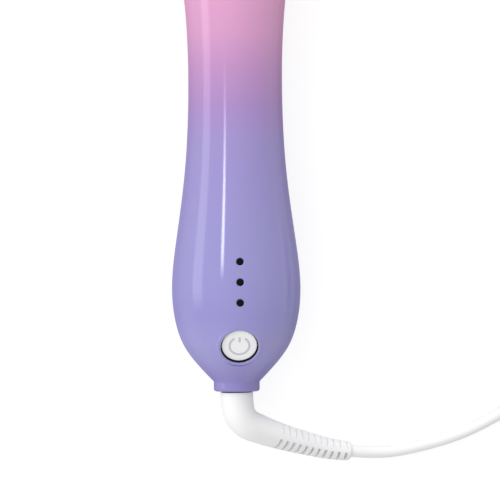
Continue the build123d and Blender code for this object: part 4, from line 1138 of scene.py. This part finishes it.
# %% [markdown]
# ## Clamp
# The clamp's blade is a strip of the same coated metal, bent to the barrel's curve with a round far
# end. It is a grid of points on two radii, whose rows get narrower where the end is round. Its
# cheeks, its tongue and the thumb lever are plates, and a bevel eases all their edges.

# %% Blade and its cheeks
BLADE_START, BLADE_END = 256.0, 328.0
BLADE_INNER, BLADE_OUTER = 13.0, 13.8
BLADE_HALF = math.radians(40)
END_CENTRE, END_RADIUS = 319.0, 9.2
BLADE_COLUMNS = 28
TONGUE_LOW, TONGUE_HIGH = 19.0, 19.8
CHEEK_IN, CHEEK_OUT = 7.0, 8.2
CHEEK = ((247.2, 13.6), (247.2, 19.8), (253.5, 19.8), (264, 11.5), (264, 11.05), (256, 11.05),
         (252.5, 13.6))
TONGUE = ((235.7, TONGUE_LOW), (253.5, TONGUE_LOW), (253.5, TONGUE_HIGH), (235.7, TONGUE_HIGH))


def eased(piece, width, under=35, segments=2):
    """Rounds a piece's edges that turn by more than some degrees, for good."""
    modifier = piece.modifiers.new("eased", "BEVEL")
    modifier.width = width * MM
    modifier.segments = segments
    modifier.limit_method = "ANGLE"
    modifier.angle_limit = math.radians(under)
    applied(piece)
    return piece


def blade_row(station):
    """The blade's section at a station: along its outer radius and back along its inner one."""
    half = BLADE_HALF
    if station > END_CENTRE:
        width = math.sqrt(END_RADIUS ** 2 - (station - END_CENTRE) ** 2)
        half = min(half, math.asin(min(1.0, width / BLADE_OUTER)))
    angles = [half * (2 * k / BLADE_COLUMNS - 1) for k in range(BLADE_COLUMNS + 1)]
    return [at(station, r * math.sin(a), r * math.cos(a))
            for r, row in ((BLADE_OUTER, angles), (BLADE_INNER, angles[::-1])) for a in row]


def side_plate(name, outline, low, high, material):
    """A plate over an outline of (station, rise) points, between two sideways places."""
    rows = [[at(station, x, rise) for station, rise in outline] for x in (low, high)]
    return skinned(name, rows, material, closed_ends=True)


blade_stations = [BLADE_START + (END_CENTRE - BLADE_START) * k / 12 for k in range(13)]
blade_stations += [END_CENTRE + (BLADE_END - END_CENTRE) * math.sin(math.pi / 2 * k / 12)
                   for k in range(3, 13)]
blade_parts = [skinned("strip", [blade_row(s) for s in blade_stations], BARREL_COAT, closed_ends=True),
               side_plate("cheek", CHEEK, CHEEK_IN, CHEEK_OUT, BARREL_COAT),
               side_plate("cheek", CHEEK, -CHEEK_OUT, -CHEEK_IN, BARREL_COAT),
               side_plate("tongue", TONGUE, -CHEEK_OUT, CHEEK_OUT, BARREL_COAT)]
rides(joined("blade", [eased(part, 0.22) for part in blade_parts]),
      "clamp", "barrel_coat", "clamp_blade")

# %% Thumb lever and rivets
RIDGES = (231.6, 233.2, 234.8, 236.4, 238.0, 239.6)
RIDGE_DEPTH, RIDGE_REACH = 0.35, 0.5
SADDLE = ((246.0, 22.0), (238.0, 21.8), (230.0, 22.6))
RIVET_STATIONS = (243.2, 249.4)


def lever_rise(station):
    """The lever's top: a shallow saddle for the thumb, as the parabola through three points."""
    a, b, c = SADDLE
    rise = 0.0
    for (s0, r0), (s1, _), (s2, _) in ((a, b, c), (b, a, c), (c, a, b)):
        rise += r0 * (station - s1) * (station - s2) / ((s0 - s1) * (s0 - s2))
    return rise


lever_outline = [(253, TONGUE_HIGH), (253, 21.2), (252.6, 21.5), SADDLE[0]]
for station in [SADDLE[0][0] - 0.4 * k for k in range(1, 40)]:
    notch = max(0.0, 1 - min(abs(station - ridge) for ridge in RIDGES) / RIDGE_REACH)
    lever_outline.append((station, lever_rise(station) - RIDGE_DEPTH * notch))
lever_outline += [SADDLE[-1], (227.0, 22.6), (226.5, 22.3), (226.4, 21.8), (226.8, 21.4),
                  (230, 21.2), (234.4, TONGUE_HIGH)]
lever = side_plate("lever", lever_outline, -7.5, 7.5, HEAT_WHITE)
rides(eased(lever, 0.4, under=50, segments=3), "clamp", "heat_white", "clamp_lever")
rivet = turned("rivet", [(-2.6, 0), (-2.6, 0.9), (0, 0.9), (0, 1.35), (0.12, 1.33), (0.32, 1.1),
                         (0.46, 0.75), (0.52, 0.35), (0.53, 0)], BRIGHT_STEEL,
               frame_of((0, 0, 0), UP), segments=32)
rivet_points = [at(s, 0, lever_rise(s) - 0.05) for s in RIVET_STATIONS]
rides(placed_copies("rivets", rivet, rivet_points, BRIGHT_STEEL), "clamp", "steel", "clamp_rivets")

# %% [markdown]
# The spring under the lever could be a tube bent turn by turn, but Geometry Nodes has a spiral of its
# own, so a round wire is swept along that, and its turns and sizes stay plain numbers.

# %% Spring
SPRING_FOOT, SPRING_LENGTH = 12.95, 5.7


def spring_tree():
    """Sweeps a round wire along a rising spiral."""
    tree = node_group("wound_spring", "GeometryNodeTree", (
        ("Geometry", "Geometry"), ("Turns", "Float", 4.0), ("Coil Radius", "Float", 0.0024),
        ("Wire Radius", "Float", 0.0003), ("Length", "Float", 0.006), ("Material", "Material")),
        (("Spring", "Geometry"),))
    given = tree.given
    spiral = tree.add("GeometryNodeCurveSpiral", {
        "Resolution": 28, "Rotations": given["Turns"], "Start Radius": given["Coil Radius"],
        "End Radius": given["Coil Radius"], "Height": given["Length"]})
    wire = tree.add("GeometryNodeCurvePrimitiveCircle", {
        "Resolution": 10, "Radius": given["Wire Radius"]})
    swept = tree.add("GeometryNodeCurveToMesh", {
        "Curve": spiral.outputs[0], "Profile Curve": wire.outputs[0], "Fill Caps": True})
    return finished(tree, swept.outputs[0])


spring_mesh = tree_result(bpy.data.objects.new("spring", bpy.data.meshes.new("spring")),
                          spring_tree(), {"Length": SPRING_LENGTH * MM, "Material": BRIGHT_STEEL})
outwards(spring_mesh)
spring_mesh.transform(Matrix.Translation(at(238, 0, SPRING_FOOT)))
spring = shown("spring", spring_mesh)
rides(spring, "barrel", "steel", "clamp_spring")
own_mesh(spring)

# %% [markdown]
# ## Strain relief
# A soft boot leads the cord out of the collar and round a bend. Its thin half is slotted so that it
# bends more and more easily towards the cord. The skin is laid in rows along the boot's middle line,
# which is a NURBS curve, with a row at every slot's edge. A tree then presses the slots' faces in,
# each as deep as its own attribute says: deep on the lower side, shallow on the upper.

# %% Middle line of the boot
BOOT_WHITE = plastic("boot_white", "F9F9FA", 0.5, grain=0.0005, bump=0.04, spread=0.04)
BOOT_LINE = ((-0.4, 0, 0), (-7.2, 0, 0), (-12.35, 3.3, -1.55), (-14.5, 8.6, -4.0),
             (-16.9, 14.6, -6.8), (-21.2, 29.0, -14.0), (-23.4, 38.3, -17.4), (-24.0, 44.4, -18.9))
NECK_RADIUS, ROOT_RADIUS, END_OF_BOOT = 6.2, 5.15, 3.65
ELBOW_SHARE = 0.42


def nurbs(name, points, resolution):
    """A quadratic NURBS line from the first to the last of its points."""
    curve = bpy.data.curves.new(name, "CURVE")
    curve.dimensions = "3D"
    spline = curve.splines.new("NURBS")
    spline.points.add(len(points) - 1)
    for control, place in zip(spline.points, points):
        control.co = (*place, 1)
    spline.use_endpoint_u = True
    spline.order_u = 3
    spline.resolution_u = resolution
    return curve


holder = bpy.data.objects.new("boot_line", nurbs("boot_line", [
    at(station, x, rise) for station, x, rise in BOOT_LINE], 24))
boot_line = [v.co.copy() for v in bpy.data.meshes.new_from_object(holder).vertices]
bpy.data.objects.remove(holder)
reached = [0.0]
for a, b in zip(boot_line, boot_line[1:]):
    reached.append(reached[-1] + (b - a).length)
boot_length = reached[-1] / MM
print("boot's length in mm", round(boot_length, 1))


def on_boot(along):
    """A point of the boot's middle line and its direction there."""
    k = next((i for i in range(1, len(reached)) if along <= reached[i]), len(reached) - 1)
    share = (along - reached[k - 1]) / (reached[k] - reached[k - 1])
    k0, k1 = max(0, k - 3), min(len(boot_line) - 1, k + 2)
    return boot_line[k - 1].lerp(boot_line[k], share), (boot_line[k1] - boot_line[k0]).normalized()


def boot_radius(share):
    """The boot's radius: it narrows fast round the elbow and then evenly to its end."""
    if share < ELBOW_SHARE:
        return NECK_RADIUS + (ROOT_RADIUS - NECK_RADIUS) * (share / ELBOW_SHARE) ** 1.5
    return ROOT_RADIUS + (END_OF_BOOT - ROOT_RADIUS) * (share - ELBOW_SHARE) / (1 - ELBOW_SHARE)


# %% Skin with slots
TIP_ROUND = 1.3
SLOT_RINGS = 11
FIRST_SLOT, LAST_SLOT = 0.455, 0.955
SLOT_ROWS = (-0.6, -0.26, 0.26, 0.6)
SLOTS = ((-74, -9, 2.7, True), (15, 68, 0.6, False), (106, 166, 1.6, True), (-166, -106, 1.6, True))
PLAIN_TURNS = {-180.0, -99.0, -90.0, -81.0, -6.0, 1.5, 9.0, 80.0, 89.0, 98.0, 173.0, -173.0}

rings = [(s, 0.0) for s in [0.0, 0.7, 1.6] + [2.6 + 1.05 * k for k in range(20)]
         if s < FIRST_SLOT * boot_length - 1]
slot_first_rows = []
for k in range(SLOT_RINGS):
    middle = (FIRST_SLOT + (LAST_SLOT - FIRST_SLOT) * k / (SLOT_RINGS - 1)) * boot_length
    slot_first_rows.append(len(rings))
    rings += [(middle + step, 0.0) for step in SLOT_ROWS]
for k in range(1, 9):
    angle = math.pi / 2 * k / 8
    rings.append((boot_length - TIP_ROUND * (1 - math.sin(angle)), TIP_ROUND * (1 - math.cos(angle))))
turns = sorted({round(a + (b - a) * k / 8, 3) for a, b, _, _ in SLOTS for k in range(9)} | PLAIN_TURNS)


def boot_row(along, drawn_in):
    """A ring of points round the boot's middle line, drawn in from its radius."""
    middle, ahead = on_boot(along * MM)
    side = ahead.cross(UP).normalized()
    over = side.cross(ahead)
    radius = (boot_radius(along / boot_length) - drawn_in) * MM
    return [middle - (side * math.sin(math.radians(t)) - over * math.cos(math.radians(t))) * radius
            for t in turns]


skin_holder = skinned("boot_skin", [boot_row(*ring) for ring in rings], BOOT_WHITE, closed_ends=True)
boot_skin = skin_holder.data
print("boot's skin", len(boot_skin.polygons))

# %% [markdown]
# The tree that presses the slots in takes any skin whose faces carry a depth, and moves those faces
# inwards with walls round them. That keeps the slots' edges crisp, where a boolean with forty-four
# cutters would take longer and could fail.

# %% Slots pressed in


def pressing_tree():
    """Presses each marked face in by its own depth, with walls round it."""
    tree = node_group("pressed_slots", "GeometryNodeTree", (
        ("Skin", "Geometry"), ("Depth Scale", "Float", 1.0), ("Material", "Material")),
        (("Piece", "Geometry"),))
    depth = tree.add("GeometryNodeInputNamedAttribute", {"Name": "slot_depth"}, data_type="FLOAT")
    found = next(s for s in depth.outputs if s.name == "Attribute" and s.enabled)
    wanted = tree.add("FunctionNodeCompare", {0: found}, operation="GREATER_THAN")
    inwards = tree.calc("MULTIPLY", found, tree.calc("MULTIPLY", tree.given["Depth Scale"], -1))
    pressed = tree.add("GeometryNodeExtrudeMesh", {
        "Mesh": tree.given["Skin"], "Selection": wanted.outputs[0], "Offset Scale": inwards,
        "Individual": False})
    return finished(tree, pressed.outputs["Mesh"])


depths = [0.0] * len(boot_skin.polygons)
for first in slot_first_rows:
    for low, high, depth, wide in SLOTS:
        for row in (0, 1, 2) if wide else (1,):
            for k, (a, b) in enumerate(zip(turns, turns[1:])):
                if a >= low - 0.01 and b <= high + 0.01:
                    depths[(first + row) * len(turns) + k] = depth * MM
marks = boot_skin.attributes.new("slot_depth", "FLOAT", "FACE")
marks.data.foreach_set("value", depths)
bpy.context.scene.collection.objects.unlink(skin_holder)
relief_mesh = tree_result(skin_holder, pressing_tree(), {"Material": BOOT_WHITE})
rides(shown("strain_relief", relief_mesh, math.radians(40)), "cord_swivel", "cord_white", "cord_boot")

# %% [markdown]
# ## Plug
# The moulded plug lies on its flat side beside the coil. It is one skin of loops along a line, each a
# rounded rectangle that starts as the relief's circle and grows into the grip, so there is no seam
# between relief and grip, as on the real moulding.

# %% Plug in one skin
CORD_WHITE = plastic("cord_white", "F8F8F8", 0.52, grain=0.0004, bump=0.06, spread=0.05)
PLUG_START = Vector((161.7, -54.6, 8.6)) * MM
PLUG_AHEAD = Vector((161.7 - 168.3, -54.6 + 75.0, 0)).normalized()
RELIEF_LOOPS = ((0.0, 2.9), (0.4, 3.4), (2.2, 3.7), (2.6, 3.2), (3.6, 3.3), (4.0, 4.0), (5.6, 4.4),
                (6.0, 3.7), (7.0, 3.8), (7.4, 4.7), (9.0, 5.0), (9.4, 4.2), (10.4, 4.3), (10.8, 5.4))
GRIP_LOOPS = ((13.0, 6.0, 5.9, 2.1), (14.2, 7.2, 6.2, 2.4), (16.0, 8.8, 6.7, 2.9),
              (18.5, 10.2, 7.4, 3.4), (21.0, 11.2, 8.0, 3.9), (24.0, 11.8, 8.4, 4.3),
              (27.0, 12.0, 8.55, 4.6), (36.6, 12.0, 8.55, 4.8), (37.5, 11.8, 8.3, 4.8),
              (38.0, 11.2, 7.7, 4.8))


def plug_loop(along, half_width, half_height, squareness, steps=48):
    """A loop between an ellipse (2) and a rounded rectangle (more) across the plug's line."""
    side = PLUG_AHEAD.cross(UP)
    loop = []
    for k in range(steps):
        angle = FULL_TURN * k / steps
        c, s = math.cos(angle), math.sin(angle)
        w = half_width * math.copysign(abs(c) ** (2 / squareness), c)
        h = half_height * math.copysign(abs(s) ** (2 / squareness), s)
        loop.append(PLUG_START + (PLUG_AHEAD * along + side * w + UP * h) * MM)
    return loop


plug_rows = [plug_loop(along, radius, radius, 2) for along, radius in RELIEF_LOOPS]
plug_rows += [plug_loop(*loop) for loop in GRIP_LOOPS]
plug = skinned("plug", plug_rows, CORD_WHITE, closed_ends=True)
rides(plug, "cord_swivel", "cord_white", "plug_body")

# %% [markdown]
# ## Finishes of the pieces that come from the drawing
# Boards, gears, motor, heater and small metal parts keep the drawing's own shapes. The record names a
# finish for each of them, so one table from the finish's name to a material dresses them all, and
# every material is made of the two groups above: mouldings with a fine grain, metals with fine lines.

# %% Materials by finish
FINISHES = {
    "handle_gloss": LACQUER, "white_gloss": WHITE_GLOSS, "lens_dark": LENS_BLACK, "steel": BRIGHT_STEEL,
    "barrel_coat": BARREL_COAT, "heat_white": HEAT_WHITE, "cord_white": CORD_WHITE,
    "component_black": BLACK_PARTS_AND_GAP_SHADE,
    "board_green": plastic("board_green", "1F5A3A", 0.35, grain=0.0012, bump=0.08, coat=0.4,
                           spread=0.15),
    "light_clear": plastic("light_clear", "E8E6DC", 0.2, grain=0.002, bump=0.02),
    "ferrite": plastic("ferrite", "2B2A2C", 0.55, grain=0.0003, bump=0.2, spread=0.2),
    "acetal": plastic("acetal", "E6E2D6", 0.38, grain=0.0008, bump=0.04),
    "nylon_black": plastic("nylon_black", "18181A", 0.5, grain=0.0005, bump=0.12, spread=0.12),
    "carbon": plastic("carbon", "252527", 0.6, grain=0.0002, bump=0.3, spread=0.2),
    "heater_ceramic": plastic("heater_ceramic", "EDE8DE", 0.65, grain=0.0003, bump=0.2, spread=0.15),
    "lead_red": plastic("lead_red", "A83A32", 0.45, grain=0.0006, bump=0.05),
    "bearing_bronze": metal("bearing_bronze", "B08D57", 0.38, stretch=(300, 4000, 300)),
    "contact_brass": metal("contact_brass", "C9A75C", 0.28, stretch=(120, 4000, 120)),
    "magnet_plated": metal("magnet_plated", "BFC1C4", 0.18, stretch=(900, 900, 900)),
    "heater_aluminium": metal("heater_aluminium", "C3C6C8", 0.42, stretch=(3500, 80, 3500)),
    "blade_plated": metal("blade_plated", "CDCBC4", 0.24, stretch=(600, 2500, 2500)),
}
for part in frame["record"]["subparts"]:
    mesh = cad_nodes[part["node"]].data
    mesh.materials.clear()
    mesh.materials.append(FINISHES[part["material_slot"]])

# %% [markdown]
# ## Cord
# A mains lead leaves the strain relief, lies on the table and is wound up for storage. One NURBS
# curve does all of it: its control points are the drawing's route, with the coil's turns added by a
# loop of sixteen points each. A quadratic NURBS cuts inside its corners, so the turns start slightly
# larger than the coil that they have to make.

# %% Cord as one smooth curve
CORD_DIAMETER = 0.0046
CORD_EXIT = Vector((44.4, -208.0, 5.2)) * MM
COIL_CENTRE = Vector((141.5, -131.7, 2.3)) * MM
COIL_OUTER = 33.79 * MM
COIL_PITCH = 5.4 * MM
COIL_LAYER = 5.3 * MM
COIL_LAYERS = 4
COIL_TURNS = 9 + 1 / 6
COIL_START = math.radians(-60)
POINTS_A_TURN = 16
CLIMB_TURNS = 0.5
CORNER_CUT = 2 / (1 + math.cos(math.pi / POINTS_A_TURN))

ROUTE_OUT = ((56.2, -209.2, 2.3), (70.0, -206.9, 2.3), (88.0, -202.0, 2.3), (105.5, -192.8, 2.3),
             (130.6, -178.0, 2.3))
ROUTE_TO_PLUG = ((175.8, -112.1, 18.2), (172.4, -95.5, 14.8), (168.3, -75.0, 9.4), (161.7, -54.6, 8.6))

cord_points = [CORD_EXIT] + [Vector(p) * MM for p in ROUTE_OUT]
layer_turns = COIL_TURNS / COIL_LAYERS
steps = round(COIL_TURNS * POINTS_A_TURN)
for step in range(steps + 1):
    turn = COIL_TURNS * step / steps
    layer = min(int(turn / layer_turns), COIL_LAYERS - 1)
    done = turn / layer_turns - layer
    inwards = layer % 2 == 0
    radius = COIL_OUTER - COIL_PITCH * layer_turns * (done if inwards else 1 - done)
    height = layer * COIL_LAYER
    for border in range(1, COIL_LAYERS):
        past = turn - border * layer_turns
        if abs(past) < CLIMB_TURNS / 2:
            share = past / CLIMB_TURNS + 0.5
            height = COIL_LAYER * (border - 1 + share ** 2 * (3 - 2 * share))
            reversal = COIL_OUTER - COIL_PITCH * layer_turns * (border % 2)
            side = 1 if border % 2 else -1
            radius = reversal + side * COIL_PITCH * (past ** 2 / CLIMB_TURNS + CLIMB_TURNS / 4)
    angle = COIL_START + FULL_TURN * turn
    out = Vector((math.cos(angle), math.sin(angle), 0))
    cord_points.append(COIL_CENTRE + out * radius * CORNER_CUT + Vector((0, 0, height)))
cord_points += [Vector(p) * MM for p in ROUTE_TO_PLUG]

cord_curve = nurbs("cord", cord_points, 4)
cord_curve.bevel_depth = CORD_DIAMETER / 2
cord_curve.bevel_resolution = 5
cord_curve.use_fill_caps = True
cord = bpy.data.objects.new("cord", cord_curve)
cord_curve.materials.append(CORD_WHITE)
bpy.context.scene.collection.objects.link(cord)
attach(cord, "cord_swivel")
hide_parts("cord_run", "cord_coil", "cord_tail")
print("cord's control points", len(cord_points))

# %% [markdown]
# ## Measures
# The box round all shown pieces, without the floor, is measured at the end. The visual model has
# to stay in the CAD model's box.

# %% Measure the box
low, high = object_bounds()
